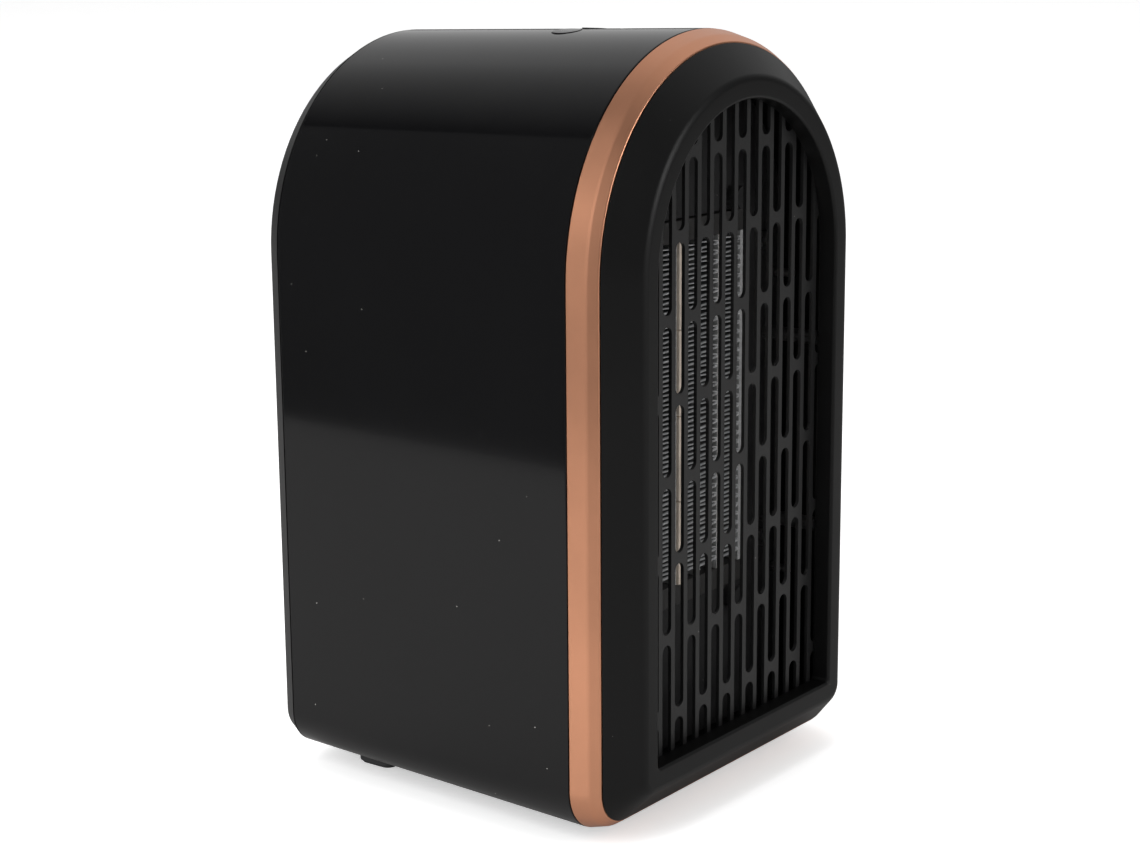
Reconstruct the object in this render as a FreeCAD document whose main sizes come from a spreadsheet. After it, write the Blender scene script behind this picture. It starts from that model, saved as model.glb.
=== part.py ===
"""Desktop ceramic space heater: an arched casing on four feet, with a trim ring, a sloped front bezel
around a recessed slotted grille, a three-bar ceramic heating element, an axial fan and two push buttons.

Frame: millimetres, +Z up, the front faces -Y, origin under the middle of the casing on the table.
Run with FreeCAD's own Python. It writes one STEP file for each sub-part into parts/.
"""

import FreeCAD
import Part
import math
import os
import re
import Sketcher
from FreeCAD import Placement, Rotation, Vector

# ---------------------------------------------------------------- driving dimensions
# alias, value in mm (degrees or a count where the note says so), what it is
SIZES = [
    ("shell_half", 72.5, "half width of the casing at its front seam"),
    ("shell_top", 250.0, "crown height of the casing at its front seam"),
    ("shell_bottom", 4.0, "height of the casing's underside at its front seam"),
    ("shell_length", 119.5, "casing length, front seam to rear end"),
    ("shell_draft", 3.0, "how far the casing draws in at its rear end"),
    ("shell_wall", 2.5, "casing wall"),
    ("shell_corner", 16.0, "bottom corner radius of the casing"),
    ("fit_gap", 0.3, "gap between moulded parts that slide together"),
    ("loose_gap", 0.6, "gap round the fan shroud inside the casing"),
    ("groove", 0.3, "shadow line between casing, trim and bezel"),
    ("trim_band", 6.5, "length of the trim's side band"),
    ("trim_band_inset", 1.75, "how far the side band leans in"),
    ("trim_face", 3.25, "length of the trim's sloped front face"),
    ("trim_face_inset", 2.15, "how far the front face leans in"),
    ("trim_land", 1.6, "flat of the trim that the bezel sits on"),
    ("trim_spigot", 4.0, "length of the trim inside the casing"),
    ("bezel_rise", 9.75, "length of the bezel's slope"),
    ("bezel_slope", 10.5, "how far the bezel's slope leans in"),
    ("bezel_skin", 2.2, "bezel wall"),
    ("bezel_spigot", 14.0, "length of the bezel inside the casing"),
    ("bezel_corner", 11.5, "bottom corner radius of the bezel's foot"),
    ("lip_width", 6.75, "width of the bezel's flat lip"),
    ("lip_corner", 5.0, "bottom corner radius of the lip's outer edge"),
    ("lip_round", 1.6, "edge rounding outside the lip"),
    ("lip_inner_round", 1.1, "edge rounding inside the lip"),
    ("recess_depth", 6.4, "lip to grille"),
    ("recess_corner", 1.5, "bottom corner radius of the recess"),
    ("recess_wall", 2.0, "wall around the recess"),
    ("grille_thick", 1.2, "grille plate"),
    ("grille_lap", 3.6, "how far the grille reaches behind the recess wall"),
    ("grille_rim", 1.8, "solid rim around the slot field"),
    ("slot_pitch", 6.9, "column to column"),
    ("slot_width", 4.8, "slot width"),
    ("slot_period", 50.7, "slot to slot down a column"),
    ("slot_bridge", 3.4, "solid bridge between two slots"),
    ("slot_base", 11.7, "height of the lowest bridge of the first columns"),
    ("column_pairs", 8, "count of column pairs"),
    ("slot_rows", 5, "count of slots down a column"),
    ("element_height", 114.0, "height of the fins"),
    ("element_middle", 125.0, "height of the element's middle"),
    ("element_depth", 14.0, "depth of the fins"),
    ("element_setback", 8.6, "element front, behind the seam"),
    ("bar_pitch", 24.5, "heating bar to heating bar"),
    ("fin_period", 3.16, "fold to fold along a fin bank"),
    ("fin_sheet", 0.35, "fin sheet thickness"),
    ("fin_land", 0.7, "flat of each fold"),
    ("stone_width", 2.2, "ceramic stone thickness"),
    ("stone_proud", 1.0, "how far the stones stand in front of the fins"),
    ("stone_count", 4, "count of stones in a bar"),
    ("stone_gap", 0.4, "gap between stones"),
    ("electrode", 0.4, "electrode plate thickness"),
    ("divider", 0.8, "centre plate thickness"),
    ("side_rail", 2.0, "outer rail thickness"),
    ("cap_height", 7.0, "height of an element end cap"),
    ("cap_side", 1.5, "how far a cap reaches past the outer plates"),
    ("cap_flange", 8.0, "fixing ear on a cap"),
    ("tab_width", 6.3, "terminal tab width"),
    ("tab_thick", 0.8, "terminal tab thickness"),
    ("tab_height", 8.0, "terminal tab height"),
    ("frame_setback", 9.6, "heater frame front, behind the seam"),
    ("frame_thick", 3.0, "heater frame plate"),
    ("frame_window_gap", 0.6, "gap around the element in the frame's window"),
    ("boss_radius", 3.8, "screw boss radius"),
    ("post_radius", 2.4, "radius of the posts that hold the grille"),
    ("low_boss", 60.0, "height of the lower screw bosses"),
    ("high_boss", 165.0, "height of the upper screw bosses"),
    ("screw_radius", 1.5, "screw shank radius"),
    ("screw_slack", 0.05, "radial slack of a screw in its pilot hole"),
    ("screw_clear", 0.3, "radial slack of a screw in a clearance hole"),
    ("head_radius", 3.0, "screw head radius"),
    ("head_height", 2.0, "screw head height"),
    ("screw_length", 10.0, "screw shank length"),
    ("cross_width", 0.9, "screw recess width"),
    ("cross_depth", 1.1, "screw recess depth"),
    ("shroud_setback", 34.0, "fan shroud plate front, behind the seam"),
    ("shroud_plate", 3.0, "fan shroud plate thickness"),
    ("shroud_top", 228.0, "top edge of the shroud plate"),
    ("shroud_ring", 24.0, "fan ring length behind the plate"),
    ("shroud_wall", 2.5, "fan ring wall"),
    ("spider_thick", 3.0, "motor spider thickness"),
    ("spider_arm", 7.0, "motor spider arm width"),
    ("spider_disc", 19.0, "motor spider centre radius"),
    ("pillar_radius", 3.6, "radius of the pillars between frame and shroud"),
    ("duct_wall", 2.0, "air duct wall"),
    ("pillar_gap", 4.6, "gap between the air duct and the pillars"),
    ("pillar_reach", 52.0, "pillars above and below the fan axis"),
    ("fan_radius", 45.0, "fan blade tip radius"),
    ("fan_gap", 2.0, "gap between blade tips and ring"),
    ("fan_height", 125.0, "height of the fan axis"),
    ("fan_depth", 14.0, "axial length of the fan"),
    ("fan_setback", 6.0, "fan front, behind the shroud plate's front"),
    ("hub_radius", 14.0, "fan hub radius"),
    ("hub_wall", 2.0, "fan hub wall"),
    ("hub_core", 4.0, "radius of the hub's bored core"),
    ("blade_count", 7, "count of fan blades"),
    ("blade_thick", 1.6, "blade thickness"),
    ("blade_root_angle", 48.0, "blade angle at the hub, degrees"),
    ("blade_tip_angle", 26.0, "blade angle at the tip, degrees"),
    ("shaft_radius", 1.5, "motor shaft radius"),
    ("bush_gap", 0.05, "radial running clearance of the shaft"),
    ("bush_radius", 4.0, "motor bush outer radius"),
    ("bush_length", 4.0, "motor bush length"),
    ("motor_radius", 17.0, "motor can radius"),
    ("motor_length", 28.0, "motor can length"),
    ("motor_wall", 1.2, "motor can wall"),
    ("rotor_radius", 11.0, "motor rotor radius"),
    ("rotor_length", 15.0, "motor rotor length"),
    ("magnet_gap", 0.6, "gap between rotor and magnets"),
    ("motor_screw_offset", 10.0, "motor screws from the axis"),
    ("back_bulge", 6.0, "how far the rear cover bulges past the casing"),
    ("back_lean", 3.0, "how far the rear cover's edge leans in"),
    ("back_round", 1.0, "edge rounding of the rear cover"),
    ("back_wall", 2.5, "rear cover wall"),
    ("back_plug", 4.0, "length of the rear cover inside the casing"),
    ("intake_pitch", 6.5, "rear slot column pitch"),
    ("intake_width", 3.6, "rear slot width"),
    ("intake_length", 27.0, "rear slot length"),
    ("intake_period", 31.0, "rear slot to slot down a column"),
    ("intake_columns", 12, "count of rear slot columns"),
    ("intake_rows", 5, "count of rear slot rows"),
    ("intake_low", 66.0, "middle height of the lowest rear slots"),
    ("gland_height", 30.0, "height of the cord gland"),
    ("gland_bore", 3.5, "cord gland bore radius"),
    ("gland_neck", 5.5, "cord gland neck radius"),
    ("gland_flange", 8.0, "cord gland flange radius"),
    ("gland_flange_thick", 2.0, "cord gland flange thickness"),
    ("gland_length", 9.0, "cord gland length"),
    ("cover_boss", 6.0, "rear cover boss radius"),
    ("cover_boss_length", 22.0, "rear cover boss length"),
    ("cover_boss_inset", 10.5, "rear cover bosses inside the casing's outline"),
    ("foot_side", 47.0, "feet from the middle"),
    ("foot_front", 20.0, "front feet behind the seam"),
    ("foot_rear", 20.0, "rear feet in front of the casing's rear end"),
    ("foot_length", 15.5, "foot pad length"),
    ("foot_width", 11.0, "foot pad width"),
    ("foot_height", 3.0, "foot pad height"),
    ("foot_round", 4.0, "foot pad corner radius"),
    ("foot_edge", 0.8, "foot pad edge rounding"),
    ("foot_seat_lap", 0.9, "how far the casing's seat reaches past the pad"),
    ("peg_radius", 2.5, "foot peg radius"),
    ("peg_gap", 0.1, "radial gap around the foot peg"),
    ("barb_radius", 3.3, "foot barb radius"),
    ("barb_height", 1.2, "foot barb height"),
    ("button_side", 8.0, "buttons from the middle"),
    ("button_setback", 47.0, "buttons behind the seam"),
    ("button_radius", 4.7, "button radius"),
    ("button_gap", 0.3, "gap around a button"),
    ("button_proud", 0.3, "how far a button stands out of the arch"),
    ("button_flange", 1.5, "how far the button's flange reaches"),
    ("button_flange_thick", 1.3, "button flange thickness"),
    ("button_travel", 0.8, "button travel"),
    ("stem_radius", 1.8, "button stem radius"),
    ("board_height", 232.0, "underside of the control board"),
    ("board_thick", 1.6, "control board thickness"),
    ("board_half", 24.0, "half width of the control board"),
    ("board_front", 22.0, "control board front, behind the seam"),
    ("board_length", 46.0, "control board length"),
    ("board_edge", 4.0, "board screws from the board's edges"),
    ("tact_side", 6.0, "key switch body side"),
    ("tact_height", 3.5, "key switch body height"),
    ("plunger_radius", 1.75, "key switch plunger radius"),
    ("plunger_proud", 1.5, "how far the plunger stands out"),
    ("plunger_sunk", 1.1, "plunger length inside its body"),
    ("lens_setback", 30.0, "indicator behind the seam"),
    ("lens_radius", 1.5, "indicator lens radius"),
    ("lens_gap", 0.1, "gap around the indicator lens"),
    ("led_height", 1.2, "indicator lamp height"),
    ("led_side", 3.0, "indicator lamp side"),
]

# ---------------------------------------------------------------- places worked out from the sizes
DERIVED = {
    "depth": "trim_band + trim_face + bezel_rise + shell_length + back_bulge",
    "y_lip": "-depth / 2",
    "y_slope": "y_lip + bezel_rise",
    "y_ridge": "y_slope + trim_face",
    "y_seam": "y_ridge + trim_band",
    "y_tail": "y_seam + shell_length",
    "y_back": "y_tail + back_bulge",
    "shell_middle": "shell_top - shell_half",
    "draft_rate": "shell_draft / shell_length",
    "trim_face_end": "trim_band_inset + trim_face_inset",
    "trim_inner": "trim_face_end + trim_land",
    "bezel_foot": "trim_face_end + groove",
    "trim_spigot_edge": "shell_wall + draft_rate * trim_spigot + fit_gap",
    "bezel_spigot_outer": "trim_inner + fit_gap",
    "bezel_spigot_inner": "bezel_spigot_outer + 2",
    "lip_outer": "trim_face_end + bezel_slope",
    "lip_inner": "lip_outer + lip_width",
    "y_grille": "y_lip + recess_depth",
    "y_grille_back": "y_grille + grille_thick",
    "grille_edge": "lip_inner - grille_lap",
    "slot_height": "slot_period - slot_bridge",
    "y_element": "y_seam + element_setback",
    "z_fins": "element_middle - element_height / 2",
    "z_fins_top": "element_middle + element_height / 2",
    "bar_half": "stone_width / 2 + electrode",
    "fin_width": "bar_pitch / 2 - bar_half - divider / 2",
    "element_half": "bar_pitch + bar_half + fin_width + side_rail",
    "y_frame": "y_seam + frame_setback",
    "y_frame_back": "y_frame + frame_thick",
    "frame_edge": "bezel_spigot_inner + fit_gap",
    "window_half": "element_half + cap_side + frame_window_gap",
    "window_low": "z_fins - cap_height - frame_window_gap",
    "window_high": "z_fins_top + cap_height + frame_window_gap",
    "boss_side": "shell_half - bezel_spigot_inner - boss_radius - fit_gap",
    "post_side": "shell_half - grille_edge - grille_rim / 2",
    "y_shroud": "y_seam + shroud_setback",
    "y_shroud_back": "y_shroud + shroud_plate",
    "y_spider": "y_shroud_back + shroud_ring",
    "y_spider_back": "y_spider + spider_thick",
    "shroud_edge": "shell_wall + draft_rate * (shroud_setback + shroud_plate) + loose_gap",
    "shroud_bore": "fan_radius + fan_gap",
    "y_fan": "y_shroud + fan_setback",
    "y_fan_back": "y_fan + fan_depth",
    "y_motor": "y_spider_back",
    "y_motor_back": "y_motor + motor_length",
    "bush_bore": "shaft_radius + bush_gap",
    "magnet_inner": "rotor_radius + magnet_gap",
    "magnet_outer": "motor_radius - motor_wall",
    "y_rotor": "y_motor + (motor_length - rotor_length) / 2",
    "pilot_radius": "screw_radius + screw_slack",
    "clear_radius": "screw_radius + screw_clear",
    "tail_inset": "shell_draft",
    "tail_wall": "shell_draft + shell_wall",
    "cover_boss_side": "shell_half - cover_boss_inset",
    "cover_boss_low": "shell_bottom + shell_corner + 4",
    "y_cover_boss": "y_tail - back_plug",
    "duct_half": "window_half + fit_gap",
    "pillar_side": "duct_half + duct_wall + pillar_gap + pillar_radius",
    "duct_low": "window_low - cap_flange - 1.5",
    "duct_high": "window_high + cap_flange + 1.5",
    "cover_boss_arc": "(shell_half - cover_boss_inset) * sqrt(0.5)",
    "gland_seat": "y_back - gland_flange_thick",
    "button_ceiling": "sqrt(pow(shell_half - shell_wall - draft_rate * button_setback; 2)"
                      " - pow(button_side + button_radius + button_flange; 2))",
    "z_flange": "shell_middle + button_ceiling - fit_gap",
    "y_button": "y_seam + button_setback",
    "z_board": "board_height + board_thick",
    "z_tact": "z_board + tact_height",
    "z_plunger": "z_tact + plunger_proud",
    "y_board": "y_seam + board_front",
    "y_lens": "y_seam + lens_setback",
    "z_roof_lens": "shell_top - draft_rate * lens_setback",
    "seat_height": "foot_height",
}

doc = FreeCAD.newDocument("space_heater")
sizes = doc.addObject("Spreadsheet::Sheet", "sizes")
for row, (alias, value, note) in enumerate(SIZES, start=1):
    sizes.set(f"A{row}", alias)
    sizes.set(f"B{row}", str(value))
    sizes.setAlias(f"B{row}", alias)
    sizes.set(f"C{row}", note)
doc.recompute()

ALIASES = {alias for alias, value, note in SIZES}
WORD = re.compile(r"[a-z][a-z0-9_]*")
ALONG = {
    "x": Rotation(Vector(0, 1, 0), 90),
    "y": Rotation(Vector(1, 0, 0), -90),
    "z": Rotation(),
}


# ---------------------------------------------------------------- small helpers
def formula(text):
    """The text with every size as a cell of the sheet and every derived place spelled out."""

    def spell(match):
        word = match.group(0)
        if word in ALIASES:
            return f"sizes.{word}"
        if word in DERIVED:
            return f"({formula(DERIVED[word])})"
        return word

    return WORD.sub(spell, str(text))


def number(text):
    """The value of a formula now, for shapes that are made with Part's own functions."""
    return float(sizes.evalExpression(formula(text)))


def bind(thing, **values):
    """Binds each named property of an object to a formula."""
    for prop, text in values.items():
        thing.setExpression(prop, formula(text))
    return thing


def place(thing, x, y, z, turn=None):
    """Binds an object's place to three formulas."""
    thing.Placement = Placement(Vector(), turn or Rotation())
    for axis, text in zip("xyz", (x, y, z)):
        thing.setExpression(f"Placement.Base.{axis}", formula(text))
    return thing


def box(name, x, y, z, length, width, height):
    """A box from its lowest corner."""
    thing = bind(doc.addObject("Part::Box", name), Length=length, Width=width, Height=height)
    return place(thing, x, y, z)


def mid_box(name, x, y, z, length, width, height):
    """A box centred on x, from y and z upwards."""
    return box(name, f"{x} - ({length}) / 2", y, z, length, width, height)


def rod(name, along, x, y, z, radius, height):
    """A cylinder from the centre of its first end."""
    thing = bind(doc.addObject("Part::Cylinder", name), Radius=radius, Height=height)
    return place(thing, x, y, z, ALONG[along])


def fuse(name, *parts):
    """One solid from several."""
    thing = doc.addObject("Part::MultiFuse", name)
    thing.Shapes = list(parts)
    thing.Refine = True
    return thing


def group(name, parts):
    """Several separate solids in one sub-part."""
    thing = doc.addObject("Part::Compound", name)
    thing.Links = list(parts)
    return thing


def cut(name, base, *tools):
    """A solid less its tools."""
    thing = doc.addObject("Part::Cut", name)
    thing.Base = base
    thing.Tool = tools[0] if len(tools) == 1 else group(f"{name}_tools", tools)
    return thing


def common(name, first, second):
    """What two solids share."""
    thing = doc.addObject("Part::Common", name)
    thing.Base = first
    thing.Tool = second
    return thing


def made(name, shape):
    """An object whose shape is made with Part's own functions."""
    thing = doc.addObject("Part::Feature", name)
    thing.Shape = shape
    return thing


# ---------------------------------------------------------------- the arch that most shells follow
def arch_sketch(body, name, y, inset, corner):
    """A sketch of the casing's outline drawn in by inset, on the plane at y."""
    sketch = body.newObject("Sketcher::SketchObject", name)
    plane = next(f for f in body.Origin.OriginFeatures if f.Role == "XZ_Plane")
    sketch.AttachmentSupport = [(plane, "")]
    sketch.MapMode = "FlatFace"
    sketch.setExpression("AttachmentOffset.Base.z", formula(f"-({y})"))

    half = number(f"shell_half - ({inset})")
    middle = number("shell_middle")
    floor = number(f"shell_bottom + ({inset})")
    bend = number(corner)
    up = Vector(0, 0, 1)
    right, left = half - bend, bend - half
    low = floor + bend
    sketch.addGeometry([
        Part.ArcOfCircle(Part.Circle(Vector(0, middle, 0), up, half), 0, math.pi),
        Part.LineSegment(Vector(-half, middle, 0), Vector(-half, low, 0)),
        Part.ArcOfCircle(Part.Circle(Vector(left, low, 0), up, bend), math.pi, 1.5 * math.pi),
        Part.LineSegment(Vector(left, floor, 0), Vector(right, floor, 0)),
        Part.ArcOfCircle(Part.Circle(Vector(right, low, 0), up, bend), 1.5 * math.pi, 2 * math.pi),
        Part.LineSegment(Vector(half, low, 0), Vector(half, middle, 0)),
    ], False)
    sketch.addConstraint([
        Sketcher.Constraint("Tangent", 0, 2, 1, 1),
        Sketcher.Constraint("Tangent", 1, 2, 2, 1),
        Sketcher.Constraint("Tangent", 2, 2, 3, 1),
        Sketcher.Constraint("Tangent", 3, 2, 4, 1),
        Sketcher.Constraint("Tangent", 4, 2, 5, 1),
        Sketcher.Constraint("Tangent", 5, 2, 0, 1),
        Sketcher.Constraint("Vertical", 1),
        Sketcher.Constraint("Horizontal", 3),
        Sketcher.Constraint("Vertical", 5),
        Sketcher.Constraint("Equal", 2, 4),
        Sketcher.Constraint("PointOnObject", 0, 3, -2),
    ])
    dimensions = [
        ("half", Sketcher.Constraint("Radius", 0, half), f"shell_half - ({inset})"),
        ("middle", Sketcher.Constraint("DistanceY", -1, 1, 0, 3, middle), "shell_middle"),
        ("floor", Sketcher.Constraint("DistanceY", -1, 1, 3, 1, floor), f"shell_bottom + ({inset})"),
        ("corner", Sketcher.Constraint("Radius", 2, bend), corner),
    ]
    for label, constraint, text in dimensions:
        index = sketch.addConstraint(constraint)
        sketch.renameConstraint(index, label)
        sketch.setExpression(f"Constraints.{label}", formula(text))
    return sketch


def arch_step(body, name, first, second, take=False):
    """Adds or takes the solid between two arches, each (y, inset, corner)."""
    kind = "PartDesign::SubtractiveLoft" if take else "PartDesign::AdditiveLoft"
    start = arch_sketch(body, f"{name}_start", *first)
    end = arch_sketch(body, f"{name}_end", *second)
    loft = body.newObject(kind, name)
    loft.Profile = start
    loft.Sections = [end]
    return loft


def arch_body(name, *steps):
    """A body made of arch steps, each (label, first arch, second arch, take)."""
    body = doc.addObject("PartDesign::Body", name)
    for label, first, second, take in steps:
        arch_step(body, f"{name}_{label}", first, second, take)
    return body


def round_edges(body, name, radius, chosen):
    """Rounds the edges of a body for which chosen says yes."""
    doc.recompute()
    tip = body.Tip
    names = [f"Edge{i}" for i, edge in enumerate(tip.Shape.Edges, start=1) if chosen(edge)]
    fillet = body.newObject("PartDesign::Fillet", name)
    fillet.Base = (tip, names)
    bind(fillet, Radius=radius)
    return fillet


def lies_at(edge, y):
    """Whether the whole edge lies in the plane at y."""
    return abs(edge.BoundBox.YMin - y) < 1e-4 and abs(edge.BoundBox.YMax - y) < 1e-4


# ---------------------------------------------------------------- fasteners
def screw(name, along, x, y, z, sign, length="screw_length"):
    """A cross-head screw. x, y, z is the seat of its head, and the shank runs along sign * axis."""
    start = {"x": x, "y": y, "z": z}
    shank_at = dict(start)
    head_at = dict(start)
    recess_at = dict(start)
    if sign > 0:
        head_at[along] = f"{start[along]} - head_height"
        recess_at[along] = head_at[along]
    else:
        shank_at[along] = f"{start[along]} - ({length})"
        recess_at[along] = f"{start[along]} + head_height - cross_depth"
    shank = rod(f"{name}_shank", along, *shank_at.values(), "screw_radius", length)
    head = rod(f"{name}_head", along, *head_at.values(), "head_radius", "head_height")
    recesses = []
    for turn in (0, 1):
        spans = {axis: "cross_width" for axis in "xyz"}
        spans[[a for a in "xyz" if a != along][turn]] = "head_radius * 1.2"
        spans[along] = "cross_depth"
        corner = {a: f"{recess_at[a]} - ({spans[a]}) / 2" for a in "xyz"}
        corner[along] = recess_at[along]
        recesses.append(box(f"{name}_cross{turn}", *corner.values(), *spans.values()))
    return cut(name, fuse(f"{name}_solid", shank, head), *recesses)


# ---------------------------------------------------------------- casing
def boss_points():
    """The four rear cover screws: two beside the arch and two above the bottom corners."""
    return [
        ("upper_left", "-(cover_boss_arc)", "shell_middle + cover_boss_arc"),
        ("upper_right", "cover_boss_arc", "shell_middle + cover_boss_arc"),
        ("lower_left", "-(cover_boss_side)", "cover_boss_low"),
        ("lower_right", "cover_boss_side", "cover_boss_low"),
    ]


def feet_points():
    """The four feet."""
    return [
        (f"{end}_{side}", f"{sign}foot_side", f"y_seam + {back}", back)
        for end, back in (("front", "foot_front"), ("rear", "(shell_length - foot_rear)"))
        for side, sign in (("left", "-"), ("right", ""))
    ]


def board_points():
    """The four screws of the control board."""
    return [
        (f"{a}{b}", x, y)
        for a, x in (("l", "-(board_half - board_edge)"), ("r", "board_half - board_edge"))
        for b, y in (("f", "y_board + board_edge"), ("b", "y_board + board_length - board_edge"))
    ]


def rounded_pad(name, x, y, z, length, width, height, bend):
    """An upright pad with rounded corners, centred on x and y."""
    parts = [
        box(f"{name}_long", f"{x} - ({width}) / 2 + {bend}", f"{y} - ({length}) / 2", z,
            f"{width} - 2 * {bend}", length, height),
        box(f"{name}_wide", f"{x} - ({width}) / 2", f"{y} - ({length}) / 2 + {bend}", z,
            width, f"{length} - 2 * {bend}", height),
    ]
    for i, (a, b) in enumerate((("-", "-"), ("-", "+"), ("+", "-"), ("+", "+"))):
        parts.append(rod(f"{name}_corner{i}", "z", f"{x} {a} (({width}) / 2 - {bend})",
                         f"{y} {b} (({length}) / 2 - {bend})", z, bend, height))
    return fuse(f"{name}_pad", *parts)


def main_shell():
    """The glossy sleeve: one wall round the sides, the arch and the underside."""
    sleeve = arch_body(
        "sleeve",
        ("outside", ("y_seam", "0", "shell_corner"),
         ("y_tail", "shell_draft", "shell_corner - shell_draft"), False),
        ("inside", ("y_seam", "shell_wall", "shell_corner - shell_wall"),
         ("y_tail", "tail_wall", "shell_corner - tail_wall"), True),
    )
    outside = arch_body(
        "casing_outside",
        ("loft", ("y_seam", "0", "shell_corner"),
         ("y_tail", "shell_draft", "shell_corner - shell_draft"), False),
    )
    added = []
    bosses = []
    for name, x, y, back in feet_points():
        wall_middle = f"shell_bottom + draft_rate * ({back}) + shell_wall / 2"
        added.append(rounded_pad(
            f"seat_{name}", x, y, "seat_height", "foot_length + 2 * foot_seat_lap",
            "foot_width + 2 * foot_seat_lap", f"{wall_middle} - seat_height",
            "(foot_round + foot_seat_lap)"))
    for name, x, z in boss_points():
        bosses.append(rod(f"cover_boss_{name}", "y", x, "y_cover_boss - cover_boss_length", z,
                          "cover_boss", "cover_boss_length"))
    for name, x, y in board_points():
        bosses.append(rod(f"board_boss_{name}", "z", x, y, "z_board", "boss_radius",
                          "shell_top - z_board"))
    added.append(sleeve)
    added.append(common("boss_columns", fuse("bosses_long", *bosses), outside))
    tools = []
    for name, x, y, back in feet_points():
        tools.append(rod(f"peg_hole_{name}", "z", x, y, "0", "peg_radius + peg_gap", "shell_middle / 4"))
    for name, x, z in boss_points():
        tools.append(rod(f"cover_pilot_{name}", "y", x, "y_cover_boss - cover_boss_length + 4", z,
                         "pilot_radius", "cover_boss_length"))
    for name, x, y in board_points():
        tools.append(rod(f"board_pilot_{name}", "z", x, y, "z_board - 1", "pilot_radius", "8"))
    for side, sign in (("left", "-"), ("right", "")):
        tools.append(rod(f"button_hole_{side}", "z", f"{sign}button_side", "y_button", "z_flange",
                         "button_radius + button_gap", "20"))
    tools.append(rod("lens_hole", "z", "0", "y_lens", "z_flange", "lens_radius + lens_gap", "20"))
    return cut("main_shell", fuse("shell_blank", *added), *tools)


def trim_ring():
    """The metallic ring between casing and bezel: a leaning band and a sloped face."""
    return arch_body(
        "trim_ring",
        ("band", ("y_seam - groove", "0", "shell_corner"),
         ("y_ridge", "trim_band_inset", "shell_corner - trim_band_inset"), False),
        ("face", ("y_ridge", "trim_band_inset", "shell_corner - trim_band_inset"),
         ("y_slope", "trim_face_end", "shell_corner - trim_face_end"), False),
        ("spigot", ("y_seam - groove", "trim_spigot_edge", "shell_corner - trim_spigot_edge"),
         ("y_seam + trim_spigot", "trim_spigot_edge", "shell_corner - trim_spigot_edge"), False),
        ("bore", ("y_slope", "trim_inner", "shell_corner - trim_inner"),
         ("y_seam + trim_spigot", "trim_inner", "shell_corner - trim_inner"), True),
    )


def bezel_bosses():
    """The four bosses that carry the heater frame."""
    return [
        (f"{level}_{side}", f"{sign}(boss_side)", f"{level}_boss")
        for level in ("low", "high")
        for side, sign in (("left", "-"), ("right", ""))
    ]


def front_bezel():
    """The sloped front frame with its flat lip, the recess wall and the spigot inside the trim."""
    foot = ("y_slope - groove", "bezel_foot", "bezel_corner")
    spigot_outer = "shell_corner - bezel_spigot_outer"
    spigot_inner = "shell_corner - bezel_spigot_inner"
    body = arch_body(
        "bezel_shell",
        ("slope", ("y_lip", "lip_outer", "lip_corner"), foot, False),
        ("spigot", ("y_slope - groove", "bezel_spigot_outer", spigot_outer),
         ("y_seam + bezel_spigot", "bezel_spigot_outer", spigot_outer), False),
        ("hollow", ("y_lip + bezel_skin", "lip_outer + bezel_skin", "lip_corner - bezel_skin"),
         ("y_slope - groove", "bezel_spigot_inner", spigot_inner), True),
        ("hollow_spigot", ("y_slope - groove", "bezel_spigot_inner", spigot_inner),
         ("y_seam + bezel_spigot", "bezel_spigot_inner", spigot_inner), True),
        ("recess", ("y_lip + bezel_skin", "lip_inner - recess_wall", "recess_corner + recess_wall"),
         ("y_grille", "lip_inner - recess_wall", "recess_corner + recess_wall"), False),
        ("opening", ("y_lip", "lip_inner", "recess_corner"), ("y_grille", "lip_inner", "recess_corner"),
         True),
    )
    front = number("y_lip")
    inner = number("shell_half - lip_inner") + 0.5
    round_edges(body, "lip_outer_round", "lip_round",
                lambda e: lies_at(e, front) and not inside(e, inner))
    round_edges(body, "lip_inner_fillet", "lip_inner_round",
                lambda e: lies_at(e, front) and inside(e, inner))
    bosses = [
        rod(f"bezel_boss_{name}", "y", x, "y_slope - groove", z, "boss_radius",
            "y_frame - y_slope + groove")
        for name, x, z in bezel_bosses()
    ]
    webs = [
        box(f"bezel_web_{name}", f"{x} - boss_radius", "y_slope - groove", f"{z} - 1",
            "2 * boss_radius + fit_gap + 1" if "right" in name else "2 * boss_radius",
            "y_frame - y_slope + groove", "2")
        if "right" in name else
        box(f"bezel_web_{name}", f"{x} - boss_radius - fit_gap - 1", "y_slope - groove", f"{z} - 1",
            "2 * boss_radius", "y_frame - y_slope + groove", "2")
        for name, x, z in bezel_bosses()
    ]
    pilots = [
        rod(f"bezel_pilot_{name}", "y", x, "y_frame - screw_length + frame_thick", z, "pilot_radius",
            "screw_length")
        for name, x, z in bezel_bosses()
    ]
    return cut("front_bezel", fuse("bezel_blank", body, *bosses, *webs), *pilots)


def inside(edge, half):
    """Whether an edge of the lip belongs to the recess: it lies within half of the recess's outline."""
    box_of = edge.BoundBox
    middle = number("shell_middle")
    reach = max(abs(box_of.XMin), abs(box_of.XMax))
    floor = number("shell_bottom + lip_inner") - 0.5
    return reach < half and box_of.ZMin > floor and box_of.ZMax < middle + half


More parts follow.
